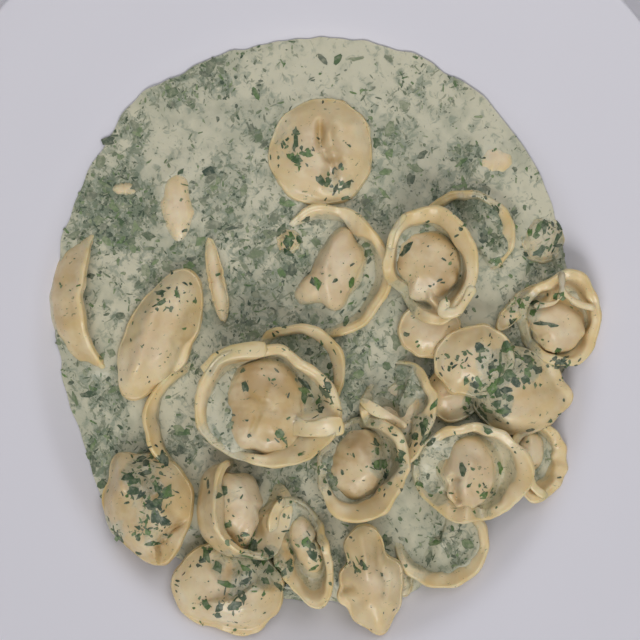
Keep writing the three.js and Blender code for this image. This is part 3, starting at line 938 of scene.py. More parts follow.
@dataclass(frozen=True)
class OpenRing(Tortellino):
    """A tortellino seen from its open side: the filled dome, the groove round it and the brim.

    Height 0 is the brim's crest. Tabs lift the groove's bottom up to the brim, where its ends meet. The
    brim is broader where `brim` swells and lies under sauce where it is `sunk`. Sauce stands in the ring
    `pool` below the crest, over the stretch `pool_open`.
    """

    dome: float = -1
    dome_radii: Point | None = None
    dome_turn: float = 0
    edge: float = 2.8
    groove: float = 7
    flare: float = 3.2
    belly: float = 8
    tabs: tuple[Swell, ...] = ()
    brim: tuple[Swell, ...] = ()
    sunk: tuple[Swell, ...] = ()
    dome_points: tuple[Swell, ...] = ()
    uneven_crest: float = 0.7
    wobbly_crest: float = 0.35
    pool: float | None = None
    pool_open: Swell = Swell(0, 720, 1)

    def crest(self, direction: np.ndarray) -> np.ndarray:
        """Returns the brim's height in each direction."""
        base = swells(self.rim, direction) + self.uneven_crest * self.unevenness(direction, 1)
        return base + swells(self.sunk, direction) + self.wobbly_crest * self.wobble(direction, 60)

    def dome_reach(self, direction: np.ndarray) -> np.ndarray:
        """Returns the dome's radius, kept clear of the brim."""
        radii = self.dome_radii or tuple(0.6 * radius for radius in self.radii)
        inner = self.outline(direction) - self.edge
        clear = inner - 1 - along(direction) @ np.array(self.shift)
        oval = ellipse_radius(direction, radii, self.dome_turn) * (1 + swells(self.dome_points, direction))
        return np.minimum(oval, clear)

    def dome_share(self, local: np.ndarray) -> np.ndarray:
        """Returns how far out from the dome's middle places lie, as shares of the dome's radius."""
        direction, reach = polar_of(local[:, :2] - np.array(self.shift))
        return reach / self.dome_reach(direction)

    def section(self, direction: np.ndarray) -> np.ndarray:
        """Returns the rows from the dome's top over the groove and brim to the underside."""
        outer = self.outline(direction)
        inner = outer - self.edge
        dome_reach = self.dome_reach(direction)
        crest = self.crest(direction)
        tab = np.clip(swells(self.tabs, direction), 0, 1)
        valley = lerp(np.minimum(-self.groove, crest - 1), crest - 1.2, tab)
        brow = np.maximum(lerp(self.dome, -self.groove, 0.65), valley + 0.3)
        foot = -self.groove - 1
        brim = swells(self.brim, direction)
        lip_height = np.maximum(crest - 0.55 - 0.75 * brim, valley + 0.4)
        brink = self.ring_of(0.97 * dome_reach, brow, direction, 1)
        lip = self.ring_of(np.maximum(inner - brim, 0.6 * inner), lip_height, direction)
        trough = brink + (lip - brink) * 0.36
        trough[:, 2] = valley
        rising = trough + (lip - trough) * 0.3
        rising[:, 2] = lerp(valley, lip_height, 0.12)
        slope = trough + (lip - trough) * 0.7
        slope[:, 2] = lerp(valley, lip_height, 0.55)
        base = outer - self.flare
        over_dome = [
            (0 * outer, self.dome),
            (0.35 * dome_reach, lerp(self.dome, -self.groove, 0.05)),
            (0.68 * dome_reach, lerp(self.dome, -self.groove, 0.23)),
            (0.89 * dome_reach, np.maximum(lerp(self.dome, -self.groove, 0.46), valley + 0.5)),
        ]
        down_outside = [
            (inner + 0.5 * self.edge, crest - 0.12), (outer - 0.55, crest), (outer, crest - 0.8),
            (outer - 0.2 * self.flare, lerp(crest, foot, 0.22)),
            (outer - 0.5 * self.flare, lerp(crest, foot, 0.6)), (base, foot),
            (0.86 * base, foot - 0.45 * self.belly), (0.5 * base, foot - 0.88 * self.belly),
            (0 * outer, foot - self.belly),
        ]
        return np.array([
            *(self.ring_of(reach, height, direction, 1) for reach, height in over_dome),
            brink, trough, rising, slope, lip,
            *(self.ring_of(reach, height, direction) for reach, height in down_outside),
        ])

    def marks(self, local: np.ndarray) -> dict[str, np.ndarray]:
        """Returns thin on the brim's edge, filled on the dome, and a share of browning over the dome plus
        painted shade down the wall.
        """
        direction, reach = polar_of(local)
        edge_gap = self.outline(direction) - reach
        above_crest = local[:, 2] - self.crest(direction)
        filled = smooth(-self.dome_share(local), -1.1, -0.75)
        # Painted shade: the dough darkens below the crest, down the brim's walls into the groove, though not
        # on the dome.
        wall = smooth(-above_crest, 0.2, 3.4) * (1 - filled)
        return {"thin": smooth(above_crest, -2.6, -0.4) * smooth(-edge_gap, -3.6, -1.2), "filled": filled,
                "tone_and_shade": self.tone_and_shade * filled + (0.5 + 0.4 * self.tone_and_shade) * wall}

    def puddle(self, points: np.ndarray) -> np.ndarray:
        """Returns how thickly cream from the groove lies at places in the plate."""
        local = self.at_home(points)
        direction, reach = polar_of(local)
        share = reach / self.outline(direction)
        beside = smooth(self.dome_share(local), 0.86, 1.08)
        level = self.groove - 2.2 if self.pool is None else self.pool - 0.6
        inside = smooth(-share, -0.99, -0.9) * smooth(-local[:, 2], level - 1.2, level + 1.2) * 0.9
        drowned = np.clip(-swells(self.sunk, direction) / 2.5, 0, 1) * smooth(share, 0.62, 0.8)
        return beside * np.maximum(inside, drowned)

    def pool_surface(self) -> bpy.types.Mesh | None:
        """Makes the sauce that stands inside the ring, or None where there is none."""
        if self.pool is None:
            return None
        columns, rings, depth, ebb = 96, 26, 2.2, 7
        direction = np.arange(columns) * 360 / columns
        reach = self.outline(direction) - 0.55 * self.edge
        level = -self.pool - ebb * (1 - swells([self.pool_open], direction))
        level = np.minimum(level, self.crest(direction) - 0.5)
        rows = []
        for row in range(rings + 1):
            outwards = smooth(np.array(row / rings), -0.1, 0.5)
            height = level * outwards - self.pool * (1 - outwards)
            rows.append(self.ring_of(reach * row / rings, height, direction))
        for share in (0.97, 0.5, 0):
            rows.append(self.ring_of(reach * share, level - depth, direction))
        rows[-1][:, 2] = -self.pool - depth
        mesh = wrap_sphere("pool_" + self.name, columns, np.array(rows))
        points = read_points(mesh)
        top = smooth(read_normals(mesh)[:, 2], 0.2, 0.8)
        layers = (0.3, 12, 300 + self.number), (0.12, 4, 400 + self.number)
        points[:, 2] += top * summed_ripples(points, layers)
        write_points(mesh, points)
        return self.placed(mesh)


@dataclass(frozen=True)
class ClosedPouch(Tortellino):
    """A tortellino seen from its closed side: the filled pocket runs out into the thin pressed edge.

    Height 0 is the edge's middle.
    """

    height: float = 8
    under: float = 8
    edge: float = 2.8
    least_flange: float = 0.06
    flange: tuple[Swell, ...] = ()

    def pocket(self, direction: np.ndarray) -> np.ndarray:
        """Returns the filled pocket's radius in each direction."""
        outer = self.outline(direction)
        return outer - np.maximum(outer * (self.least_flange + swells(self.flange, direction)), 1)

    def section(self, direction: np.ndarray) -> np.ndarray:
        """Returns the rows from the pocket's top over the edge to the middle of the underside."""
        outer = self.outline(direction)
        pocket = self.pocket(direction)
        lift = swells(self.rim, direction)
        top, half = self.height, self.edge / 2
        brow = lerp(0.25 * top, half, 0.5) + 0.5 * lift
        rows = [
            (0 * outer, top, 1), (0.28 * pocket, 0.97 * top, 0.85), (0.55 * pocket, 0.86 * top, 0.55),
            (0.8 * pocket, lerp(brow, 0.86 * top, 0.55), 0.25), (pocket, brow, 0),
            (lerp(pocket, outer, 0.55), half + 0.8 * lift, 0), (outer - 0.45, half * 0.9 + lift, 0),
            (outer, lift, 0), (outer - 0.5, -half + lift, 0), (0.9 * pocket, -0.35 * self.under, 0),
            (0.6 * pocket, -0.8 * self.under, 0), (0 * outer, -self.under, 0),
        ]
        return np.array([self.ring_of(reach, height, direction, follow) for reach, height, follow in rows])

    def marks(self, local: np.ndarray) -> dict[str, np.ndarray]:
        """Returns thin on the pressed edge, filled on the pocket, and a share of browning plus a painted
        shade line along the pocket's edge.
        """
        direction, reach = polar_of(local)
        outer = self.outline(direction)
        pocket = self.pocket(direction)
        filled = smooth(-reach / pocket, -0.8, -0.3)
        # Painted shade: a thin dark line where the pocket meets the pressed edge.
        seam_shade = 0.12 * np.exp(-(((reach - pocket) / 0.9) ** 2))
        return {"thin": smooth(reach, pocket, outer), "filled": filled,
                "tone_and_shade": self.tone_and_shade * (0.5 + 0.5 * filled) + seam_shade}


# From the top of the heap downwards; each one is cut back from all that stand before it.
HEAP: tuple[Tortellino, ...] = (
    # 01: the large ring in the middle
    OpenRing(at=(-14.5, -19.8, 41), radii=(22.2, 19), dome_radii=(12.4, 16.2), shift=(-1, -1.8), dome=-0.5,
             groove=7.5, tabs=(Swell(-12, 46, 0.9),), pool=4, pool_open=Swell(200, 250, 1),
             points=(Swell(-20, 50, 0.05), Swell(45, 70, -0.09), Swell(128, 60, 0.07)),
             rim=(Swell(115, 90, 1.2), Swell(265, 110, -2)), columns=192,
             brim=(Swell(-50, 110, 4.5), Swell(112, 60, 1.5)), sunk=(Swell(222, 84, -4),), tone_and_shade=0.58,
             folds=(Fold(CREASE, ((147, 0.42), (140, 0.08), (-37, 0.2)), 0.9, 0.9),
                    Fold(CREASE, ((140, 0.08), (240, 0.55)), 0.7, 0.9),
                    Fold(RIDGE, ((100, 0.3), (40, 0.3), (5, 0.4)), 0.7, 1.6)),
             strips=(Strip(((152, 0.99, -1.2), (136, 0.96, 0.2), (112, 0.94, 1.7), (90, 0.93, 1.3)), 4.4,
                           1.1, 0.05, 8),
                     Strip(((-38, 0.46, -3), (-30, 0.62, -1.4), (-20, 0.82, -0.2), (-13, 1.04, 0.2)), 5.6,
                           1.1, 0.06, -10))),
    # 02: the ring with the round dome, right of the middle
    OpenRing(at=(35.2, 23.6, 39.5), radii=(14.9, 17.6), dome_radii=(11.6, 10.8), shift=(-2.6, -1), edge=3.2,
             groove=8, dome=-2, lean=222, tilt=10, rim=(Swell(232, 90, -6),),
             points=(Swell(285, 60, 0.08), Swell(228, 70, -0.14)), tabs=(Swell(285, 34, 0.8),), pool=5,
             pool_open=Swell(140, 240, 1), columns=168, brim=(Swell(60, 190, 2.6),),
             sunk=(Swell(228, 90, -3),), tone_and_shade=0.5,
             folds=(Fold(CREASE, ((10, 0.5), (-35, 0.72), (-62, 0.62)), 0.8, 0.8),),
             strips=(Strip(((116, 0.98, -0.4), (140, 0.93, -0.3), (160, 0.92, -0.8), (178, 0.9, -2.4)), 2.2,
                           1.5),
                     Strip(((-26, 0.96, -0.4), (-46, 0.98, 0), (-62, 0.95, 0.2), (-74, 0.8, 0),
                            (-64, 0.66, -0.8)), 3.4, 2, 0.1))),
    # 03: the ring below the middle
    OpenRing(at=(14.6, -38.6, 37), radii=(14.6, 16.6), dome_radii=(9.2, 11.4), shift=(-3.2, 1.8), tone_and_shade=0.65,
             edge=3.2, groove=8.5, dome=-1.5, lean=130, tilt=12, rim=(Swell(125, 120, -5),),
             points=(Swell(240, 80, 0.08), Swell(330, 70, -0.07)), pool=3.6, columns=168,
             pool_open=Swell(175, 260, 1), brim=(Swell(-70, 160, 3.6),),
             sunk=(Swell(180, 120, -4), Swell(100, 100, -5)),
             folds=(Fold(CREASE, ((60, 0.75), (40, 0.45), (15, 0.5)), 1.4, 1.4),
                    Fold(RIDGE, ((120, 0.6), (60, 0.2), (-60, 0.3)), 0.7, 2.4))),
    # 04: the ring low on the right
    OpenRing(at=(48.2, -40.8, 37.5), radii=(18.6, 15.6), dome_radii=(8.6, 11.2), shift=(-1.2, 0), dome=2,
             groove=6.5, lean=205, tilt=7, tabs=(Swell(205, 50, 0.6),),
             points=(Swell(12, 60, 0.06), Swell(318, 70, -0.13)), pool=3, columns=168,
             rim=(Swell(205, 120, -4.5), Swell(285, 60, -3)), pool_open=Swell(150, 260, 1),
             brim=(Swell(-5, 90, 2.6), Swell(-110, 100, 4.5)), sunk=(Swell(168, 110, -4.5),),
             dome_points=(Swell(-95, 50, 0.2), Swell(150, 80, -0.14), Swell(-150, 50, -0.16)),
             folds=(Fold(CREASE, ((176, 0.2), (200, 0.36), (232, 0.5), (252, 0.66)), 3, 1.2),
                    Fold(RIDGE, ((80, 0.4), (200, 0.12), (-100, 0.62)), 1.3, 2.2))),
    # 05: the ring left of the bottom, which leans to the right
    OpenRing(at=(-18.4, -50.6, 35), radii=(14, 15.6), dome_radii=(8.4, 10.6), shift=(-2.8, 0.4), dome=2.4,
             groove=9, flare=0.6, belly=10, lean=22, tilt=38, edge=2,
             points=(Swell(286, 60, 0.1), Swell(138, 70, 0.14), Swell(190, 110, 0.12)),
             rim=(Swell(75, 110, -4),), tabs=(Swell(292, 34, 0.5),), columns=168,
             brim=(Swell(-30, 130, 5), Swell(185, 130, 4)), sunk=(Swell(70, 120, -9),),
             dome_points=(Swell(125, 60, 0.2), Swell(60, 60, 0.1), Swell(-88, 50, 0.25),
                          Swell(190, 70, -0.15), Swell(-28, 80, -0.25))),
    # 06: a pouch under spinach, right of the middle
    ClosedPouch(at=(49.4, -6, 33), radii=(12.6, 11.4), turn=20, height=6.5, points=(Swell(-45, 80, 0.08),),
                flange=(Swell(0, 170, 0.12),)),
    # 07: the ring at the right edge
    OpenRing(at=(76, 7.6, 34), radii=(12.8, 15.6), dome_radii=(10.8, 8.4), shift=(-2.4, -3.8), dome=1.8,
             groove=5.5, lean=250, tilt=8, tabs=(Swell(95, 50, 0.8),), pool=4.8,
             points=(Swell(112, 90, -0.22), Swell(300, 60, 0.08)), rim=(Swell(215, 120, -4),),
             sunk=(Swell(192, 130, -5),), pool_open=Swell(40, 160, 1),
             strips=(Strip(((90, 1.0, 0), (89, 0.62, 1.4), (108, 0.44, 2), (142, 0.52, 1.8),
                            (158, 0.72, 0.4)), 1.8, 2.6),
                     Strip(((90, 1.0, 0), (87, 0.6, 1.4), (62, 0.42, 1.6), (28, 0.6, 0.9), (14, 0.86, 0.2)),
                           1.9, 2.6))),
    # 08: the large pouch under spinach, right of the middle
    ClosedPouch(at=(63.5, -15.6, 28.5), radii=(15.4, 14), turn=-25, height=8, shift=(-3, -3), tone_and_shade=0.25,
                points=(Swell(-8, 50, 0.14),), flange=(Swell(20, 120, 0.24),),
                folds=(Fold(RIDGE, ((75, 0.8), (30, 0.55), (-5, 1.0)), 0.9, 1.6),
                       Fold(RIDGE, ((215, 0.8), (255, 0.6), (-50, 0.75), (-10, 0.95)), 1.2, 3))),
    # 09: the pouch at the left below
    ClosedPouch(at=(-52, -51, 29), radii=(14.6, 15.6), height=8.5, lean=135, tilt=10, shift=(-1.5, 1),
                points=(Swell(125, 60, 0.24), Swell(288, 80, 0.24)), flange=(Swell(305, 100, 0.3),),
                rim=(Swell(305, 90, 2.5),), columns=144, tone_and_shade=0.7,
                folds=(Fold(LAP, ((-77, 1.04), (-73, 0.66), (-50, 0.66), (-22, 0.84)), 3.6, 0.5, 8),
                       Fold(RIDGE, ((120, 1.05), (125, 0.7), (160, 0.4)), 1.6, 1.8),
                       Fold(CREASE, ((-70, 0.7), (-48, 0.7), (-18, 0.9)), 1.2, 0.9),
                       Fold(CREASE, ((95, 0.75), (70, 0.4), (10, 0.35)), 1.1, 1.4))),
    # 10: the small ring between 01, 03 and 06
    OpenRing(at=(25.8, -19.4, 33.5), radii=(12.4, 13.6), groove=7, dome=-6.5, dome_radii=(6, 7), lean=150,
             tilt=12, points=(Swell(275, 80, 0.42),), rim=(Swell(100, 120, -6),), pool=3, columns=144,
             brim=(Swell(-50, 110, 4.5),), pool_open=Swell(100, 280, 1),
             sunk=(Swell(145, 100, -6), Swell(222, 70, -4)),
             strips=(Strip(((172, 0.96, 0.2), (190, 0.66, 0.4), (220, 0.42, 0.2), (-70, 0.44, -1.2)), 3.6,
                           0.9, 0.2, -20),)),
    # 11: the long pouch at the bottom
    ClosedPouch(at=(17.4, -74.4, 28.5), radii=(10, 16.8), turn=9, height=7.5, shift=(1, -3),
                points=(Swell(100, 40, 0.05), Swell(56, 60, -0.24), Swell(146, 56, -0.24),
                        Swell(212, 46, 0.16), Swell(-78, 44, 0.1)),
                flange=(Swell(215, 80, 0.2),),
                folds=(Fold(RIDGE, ((102, 1.0), (106, 0.5), (150, 0.12)), 1.6, 1.6),
                       Fold(CREASE, ((82, 1.0), (68, 0.5), (0, 0.45), (-60, 0.5)), 1.3, 1.2),
                       Fold(CREASE, ((205, 1.0), (190, 0.5)), 1, 1.3))),
    # 12: the narrow ring at the bottom
    OpenRing(at=(-4.4, -65, 32), radii=(9, 17), turn=20, groove=6, dome=-0.4, dome_radii=(4.4, 9),
             shift=(1.8, 1), dome_turn=20, points=(Swell(288, 50, 0.12),), rim=(Swell(60, 120, -4),),
             columns=144, brim=(Swell(200, 190, 5),), sunk=(Swell(80, 110, -4),), pool=4.4,
             pool_open=Swell(90, 240, 1)),
    # 13: the pouch at the bottom left
    ClosedPouch(at=(-27.2, -77, 29), radii=(18, 14), turn=-10, height=7.5, shift=(1, -2),
                points=(Swell(292, 70, 0.12), Swell(245, 40, -0.06)), flange=(Swell(270, 150, 0.14),),
                columns=144, tone_and_shade=0.2,
                folds=(Fold(LAP, ((-4, 1.0), (14, 0.52), (-37, 0.2), (205, 0.4)), 3, 0.8, 5),
                       Fold(RIDGE, ((205, 0.6), (250, 0.4), (-60, 0.45), (-15, 0.75)), 1.2, 3),
                       Fold(CREASE, ((120, 0.8), (100, 0.35), (60, 0.7)), 1.4, 2))),
    # 14: the small ring at the right end of 04
    OpenRing(at=(70, -37, 30.5), radii=(9.6, 12.4), lean=20, tilt=10, groove=6, dome=-0.5,
             dome_radii=(5.4, 7), shift=(-2, 3), points=(Swell(262, 60, 0.1),), tabs=(Swell(250, 60, 0.8),),
             pool=4.6, brim=(Swell(0, 140, 1.2),),
             strips=(Strip(((165, 0.5, -0.4), (215, 0.42, 0.3), (255, 0.62, 0.4), (-78, 0.98, 0)), 2.6,
                           1.6),)),
    # 15: the long pouch left of 01
    ClosedPouch(at=(-48.6, 1.8, 27.5), radii=(11, 20.4), turn=-28, height=8.5, shift=(1, 2),
                points=(Swell(243, 50, 0.12), Swell(70, 70, 0.1)), flange=(Swell(325, 110, 0.2),), wet=0.5,
                folds=(Fold(RIDGE, ((85, 0.8), (120, 0.4), (230, 0.4), (240, 0.95)), 1.4, 2.4),
                       Fold(CREASE, ((40, 0.9), (20, 0.6), (-20, 0.8)), 0.8, 1.6))),
    # 16: the ring on its side at the left edge
    OpenRing(at=(-66, 13, 21.5), radii=(14, 24), lean=4, tilt=62, groove=7, dome=-6, flare=-0.2, belly=12,
             points=(Swell(235, 90, -0.12),), wet=0),
    # 17: the ring in the upper middle, with a pointed dome
    OpenRing(at=(4.9, 22.4, 29.5), radii=(19, 20.8), dome_radii=(7.6, 11.6), shift=(1, -0.6), dome_turn=-28,
             dome=2.5, groove=6, lean=190, tilt=8, edge=2.4, rim=(Swell(180, 150, -3),),
             points=(Swell(42, 70, -0.06),), pool=2.2, columns=168,
             sunk=(Swell(185, 150, -2.5), Swell(246, 80, -4)), brim=(Swell(62, 60, 3.5),),
             pool_open=Swell(180, 330, 1),
             dome_points=(Swell(79, 60, 0.3), Swell(212, 70, 0.6), Swell(-84, 60, 0.25), Swell(25, 60, 0.1)),
             folds=(Fold(RIDGE, ((80, 0.68), (100, 0.2), (-100, 0.3), (-90, 0.6)), 1.4, 1.8),
                    Fold(RIDGE, ((100, 0.1), (205, 0.6)), 0.8, 2))),
    # 18: the round, smooth pouch at the top
    ClosedPouch(at=(2, 59.5, 26), radii=(16.9, 17), height=6.5, flange=(Swell(250, 90, 0.12),), columns=144,
                tone_and_shade=0.3,
                folds=(Fold(CREASE, ((92, 0.62), (100, 0.1), (-57, 0.36)), 2.2, 1.1),
                       Fold(RIDGE, ((75, 0.5), (20, 0.18), (-45, 0.42)), 1.3, 1.5),
                       Fold(CREASE, ((-60, 0.3), (-75, 0.8)), 1.7, 2.2),
                       Fold(CREASE, ((-57, 0.3), (-20, 0.5)), 1, 1.2))),
    # 19: a ring filled with sauce, upper right
    OpenRing(at=(47.4, 33.4, 28.6), radii=(15.2, 14), dome=-6, dome_radii=(7, 7), lean=225, tilt=12,
             edge=2.4, pool=2, brim=(Swell(5, 110, 2.2),), sunk=(Swell(-80, 120, -5),), columns=144),
    # 20: a ring filled with sauce, lower right
    OpenRing(at=(39.4, -63, 27.6), radii=(15.4, 14.4), dome=-5, dome_radii=(7, 7), lean=150, tilt=12,
             edge=2.6, pool=2.4, brim=(Swell(-70, 180, 2.2),), sunk=(Swell(125, 175, -7),), columns=144),
    # 21: a back below 02
    ClosedPouch(at=(36, 3.6, 28.5), radii=(10, 9.2), height=4.5, columns=88, tone_and_shade=0.35),
    # 22: a back left of 08
    ClosedPouch(at=(43, -17, 27), radii=(9, 8.6), height=5, columns=88,
                folds=(Fold(RIDGE, ((190, 0.5), (20, 0.7)), 1, 0.9),)),
    # 23: a ring of which an arc shows above 01
    OpenRing(at=(-5.6, -9.6, 30.8), radii=(15.6, 15), dome=-5, dome_radii=(7, 7), lean=235, tilt=8,
             edge=2.4, pool=2.4, brim=(Swell(30, 120, 2.4),), sunk=(Swell(160, 110, -2.5),), columns=144),
    # 24: a ring of which an arc shows left of 01
    OpenRing(at=(-38, -25, 26), radii=(16, 18.5), dome=-5, dome_radii=(7, 7), lean=5, tilt=24, flare=2,
             brim=(Swell(190, 120, 2.2),), sunk=(Swell(285, 110, -6), Swell(30, 180, -6))),
    # 25: a narrow fold that reaches out of the sauce, upper left
    ClosedPouch(at=(-31, 19, 25.6), radii=(2.8, 13.6), turn=10, height=2.8, under=6, columns=64),
    # 26: a narrow fold left of 07
    ClosedPouch(at=(63.5, 10.4, 26.6), radii=(3, 9.6), turn=-42, height=2.4, under=6, columns=64, tone_and_shade=0.2),
    # 27: the smooth oval back at the upper left
    ClosedPouch(at=(-43.2, 43, 24), radii=(6.8, 14), height=4.2, columns=88),
    # 28: a back in the sauce at the upper right
    ClosedPouch(at=(57, 57.6, 24.6), radii=(8.6, 7.6), height=3.4, columns=72),
    # 29: a back in the sauce above 07
    ClosedPouch(at=(72, 32, 24.6), radii=(7, 7.6), height=3.4, columns=72),
    # 30: a small bump at the far left
    ClosedPouch(at=(-60, 48, 24.4), radii=(5.4, 3.4), height=3, under=6, columns=56),
    # 31: a small bump left of 17
    ClosedPouch(at=(-8.2, 31.4, 25), radii=(4.2, 4), height=3.4, under=6, columns=56),
    # 32: a small bump right of 11
    ClosedPouch(at=(27, -75, 22.4), radii=(4.2, 7), turn=15, height=3.6, under=6, columns=56),
)


@dataclass(frozen=True)
class Patch:
    """A round place on the food, and how strongly something shows there."""

    x: float
    y: float
    radius: float
    strength: float = 1


def patches(places: Sequence[Patch], points: np.ndarray) -> np.ndarray:
    """Returns the strongest of several patches at each place, fading out towards their ragged edges."""
    total = np.zeros(len(points))
    flat = points * [1, 1, 0]
    x = points[:, 0] + 1.5 * ripples(flat, 8, 41) + 0.7 * ripples(flat, 3.5, 43)
    y = points[:, 1] + 1.5 * ripples(flat, 8, 42) + 0.7 * ripples(flat, 3.5, 44)
    for patch in places:
        gap = np.hypot(x - patch.x, y - patch.y)
        total = np.maximum(total, patch.strength * smooth(-gap, -1.25 * patch.radius, -0.55 * patch.radius))
    return total


# Where the spinach lies thickest and thinnest in the sauce.
THICKETS: tuple[Patch, ...] = (
    Patch(-64, 42, 15, 1.7), Patch(-18, 30, 8, 1.1), Patch(-20, 17, 8), Patch(-51, 22, 7), Patch(-40, 28, 7),
    Patch(-28, 50, 8), Patch(-31, 37, 8), Patch(-16, 66, 5), Patch(-11, 38, 7), Patch(-6, 24, 7),
    Patch(-24, 5, 8, 1.1), Patch(-10, 2, 8, 1.2), Patch(3, 1, 7, 1.2), Patch(12, -2, 8, 1.2),
    Patch(12, -14, 7, 1.2), Patch(14, -25, 6), Patch(27, -13, 6), Patch(39, -8, 7), Patch(22, -34, 6),
    Patch(31, 13, 6, 0.8), Patch(48, 58, 6, 1.6), Patch(46, 44, 9, 1.5), Patch(57, 36, 8, 1.4),
    Patch(74, 24, 7, 1.2), Patch(20, 40, 7), Patch(30, 81, 5, 0.8), Patch(27, 63, 6, 0.8), Patch(63, -1, 6),
    Patch(54, -17, 9, 1.6), Patch(61, -8, 8, 1.4), Patch(-66, -16, 9, 1.1), Patch(-66, -36, 8, 1.4),
    Patch(-53, -41, 7, 1.2), Patch(-40, -7, 6, 0.8), Patch(-39, -33, 7, 1.1), Patch(-43, 80, 8),
    Patch(-33, 84, 7), Patch(-58, 66, 8), Patch(-20, -72, 10, 1.3), Patch(6, -72, 6), Patch(-5, -83, 6),
    Patch(44, -64, 6, 0.6), Patch(57, -50, 4), Patch(3, -41, 6), Patch(-8, -45, 5), Patch(18, 55, 5, 0.7),
    Patch(-2, 42, 6),
)
CLEARINGS: tuple[Patch, ...] = (
    Patch(10, 92, 16, 0.7), Patch(-8, 84, 10, 0.5), Patch(56, 66, 12, 0.6), Patch(-44, 66, 9, 0.6),
    Patch(-34, 68, 9, 0.6), Patch(24, -52, 9, 0.8), Patch(52, 10, 9, 0.8), Patch(-66, -6, 5, 0.6),
    Patch(38, 62, 8, 0.5), Patch(26, 20, 7, 0.5), Patch(-35, -40, 5, 0.5), Patch(66, 44, 10, 0.5),
    Patch(-53, -22, 7, 0.7), Patch(40, 24, 5, 0.5), Patch(-46, 52, 6, 0.5), Patch(30, -60, 6, 0.7),
)


def murkiness(points: np.ndarray) -> np.ndarray:
    """Returns how thick the spinach lies in the cream at each place, from about -1.5 to 2."""
    flat = points * [1, 1, 0]
    drifts = summed_ripples(flat, ((0.42, 7, 31), (0.36, 3.6, 32)))
    return patches(THICKETS, points) - patches(CLEARINGS, points) + drifts


# Where cream covers the dough, and where spinach clings to it.
FILMS: tuple[Patch, ...] = (
    Patch(56, -8, 8, 0.95), Patch(54, -17, 9, 1), Patch(64, -6, 8, 0.95), Patch(-54, -43, 7, 0.8),
    Patch(-52, -52, 5, 0.6), Patch(-49, -61, 4, 0.6), Patch(-62, -60, 5, 0.8), Patch(-20, -70, 9, 0.95),
    Patch(-12, -71, 6, 0.9), Patch(-28, -68, 5, 0.7), Patch(-8, 62, 7, 0.5), Patch(8, 50, 6, 0.5),
    Patch(-52, 12, 5, 0.4), Patch(20, -66, 5, 0.4), Patch(34, -25, 6, 0.8), Patch(72, 32, 10, 0.8),
    Patch(52, 40, 9, 0.9), Patch(0, -62, 6, 0.7), Patch(22, -38, 6, 0.8), Patch(55, 60, 5, 0.6),
    Patch(-40, 44, 5, 0.3), Patch(33, -42, 6, 0.8), Patch(-30, 20, 4, 0.5), Patch(-28, -47, 5, 0.5),
    Patch(66, 12, 7, 0.8),
)
CLUSTERS: tuple[Patch, ...] = (
    Patch(1, -15, 6, 1.2), Patch(-12, -6, 2.2), Patch(-10, -30, 3), Patch(-50, -39, 7, 1.3),
    Patch(-50, -57, 4, 1.2), Patch(-55, -47, 4, 1.2), Patch(-48.5, -62, 3, 1.2), Patch(-64, -60, 4, 1.4),
    Patch(-47, -49, 3, 1.6), Patch(-58, -41, 3, 1.5), Patch(-35, -68, 4, 1.3), Patch(-19, -69.5, 7, 1.8),
    Patch(-13, -71, 5, 1.6), Patch(-28, -79, 5), Patch(-3, -66, 5), Patch(11, -69, 5, 1.2),
    Patch(22, -37, 6, 1.3), Patch(3, -44, 5), Patch(34, -43, 6), Patch(52, -46, 4), Patch(54, -17, 7, 1.8),
    Patch(60, -9, 6, 1.4), Patch(64, -4, 5, 1.2), Patch(51, -5, 6, 0.4), Patch(63, 9, 4),
    Patch(41, -7, 6, 1.2), Patch(77, -7, 4.5, 1.3), Patch(-5, 29, 6), Patch(-6, 60, 6, 1.1),
    Patch(5, 50, 4, 1.3), Patch(33, -27, 6), Patch(51, 59, 5), Patch(75, 33, 6), Patch(52, 40, 8, 1.3),
    Patch(-14, 8, 6), Patch(-46, 12, 4), Patch(-22, -60, 4), Patch(44, -66, 5), Patch(-52, -45, 6, 1.8),
    Patch(-48, -54, 4, 1.6),
)


@dataclass
class Heap:
    """All the tortellini, made from the top of the heap downwards, with a gap between any two.

    Dough lies in cream up to the height `wet`, and is free of it from the height `dry`.
    """

    pieces: tuple[Tortellino, ...] = tuple(
        replace(piece, number=number) for number, piece in enumerate(HEAP, start=1))
    gap: float = 0.08
    wet: float = 24.5
    dry: float = 30.5
    meshes: list[bpy.types.Mesh] = field(default_factory=list)

    def overlaps(self, first: bpy.types.Mesh, second: bpy.types.Mesh) -> bool:
        """Tells whether two meshes' boxes meet."""
        a, b = read_points(first), read_points(second)
        return bool(np.all(a.min(0) < b.max(0)) and np.all(b.min(0) < a.max(0)))

    def build(self) -> None:
        """Makes every piece, cuts it back from those above it, and dresses it."""
        dough = Dough().material()
        for piece in self.pieces:
            mesh = piece.surface()
            above = [other for other in self.meshes if self.overlaps(mesh, other)]
            if above:
                mesh = cut_away(mesh, joined(above, self.gap))
                keep_largest(mesh)
            mesh = joined([mesh, *piece.sheets()]) if piece.strips else mesh
            piece.dress(mesh)
            points = read_points(mesh)
            bathed = piece.wet * smooth(-points[:, 2], -self.dry, -self.wet)
            films = [bathed, patches(FILMS, points), piece.puddle(points)]
            set_attribute(mesh, "film", np.maximum.reduce(films))
            set_attribute(mesh, "murk", murkiness(points))
            shade_smooth(mesh, 60)
            name = piece.name
            thing = add_object(name + "_dough", mesh, dough)
            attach(thing, "root")
            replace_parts(thing, name)
            self.meshes.append(mesh)
            LOG.info("%s: %d faces", thing.name, len(mesh.polygons))


# ---------------------------------------------------------------- sauce

# How far the sauce reaches across the well: direction in degrees, share of the lip's radius.
SHORELINE: tuple[Point, ...] = (
    (0, 0.94), (19, 0.952), (34, 0.975), (52, 0.99), (75, 0.984), (100, 0.975), (118, 0.985), (130, 1.01),
    (142, 0.985), (158, 0.972), (172, 0.955), (185, 0.93), (200, 0.91), (215, 0.93), (226, 0.925),
    (236, 0.87), (250, 0.85), (270, 0.86), (290, 0.9), (305, 0.875), (320, 0.845), (335, 0.86),
    (348, 0.885),
)


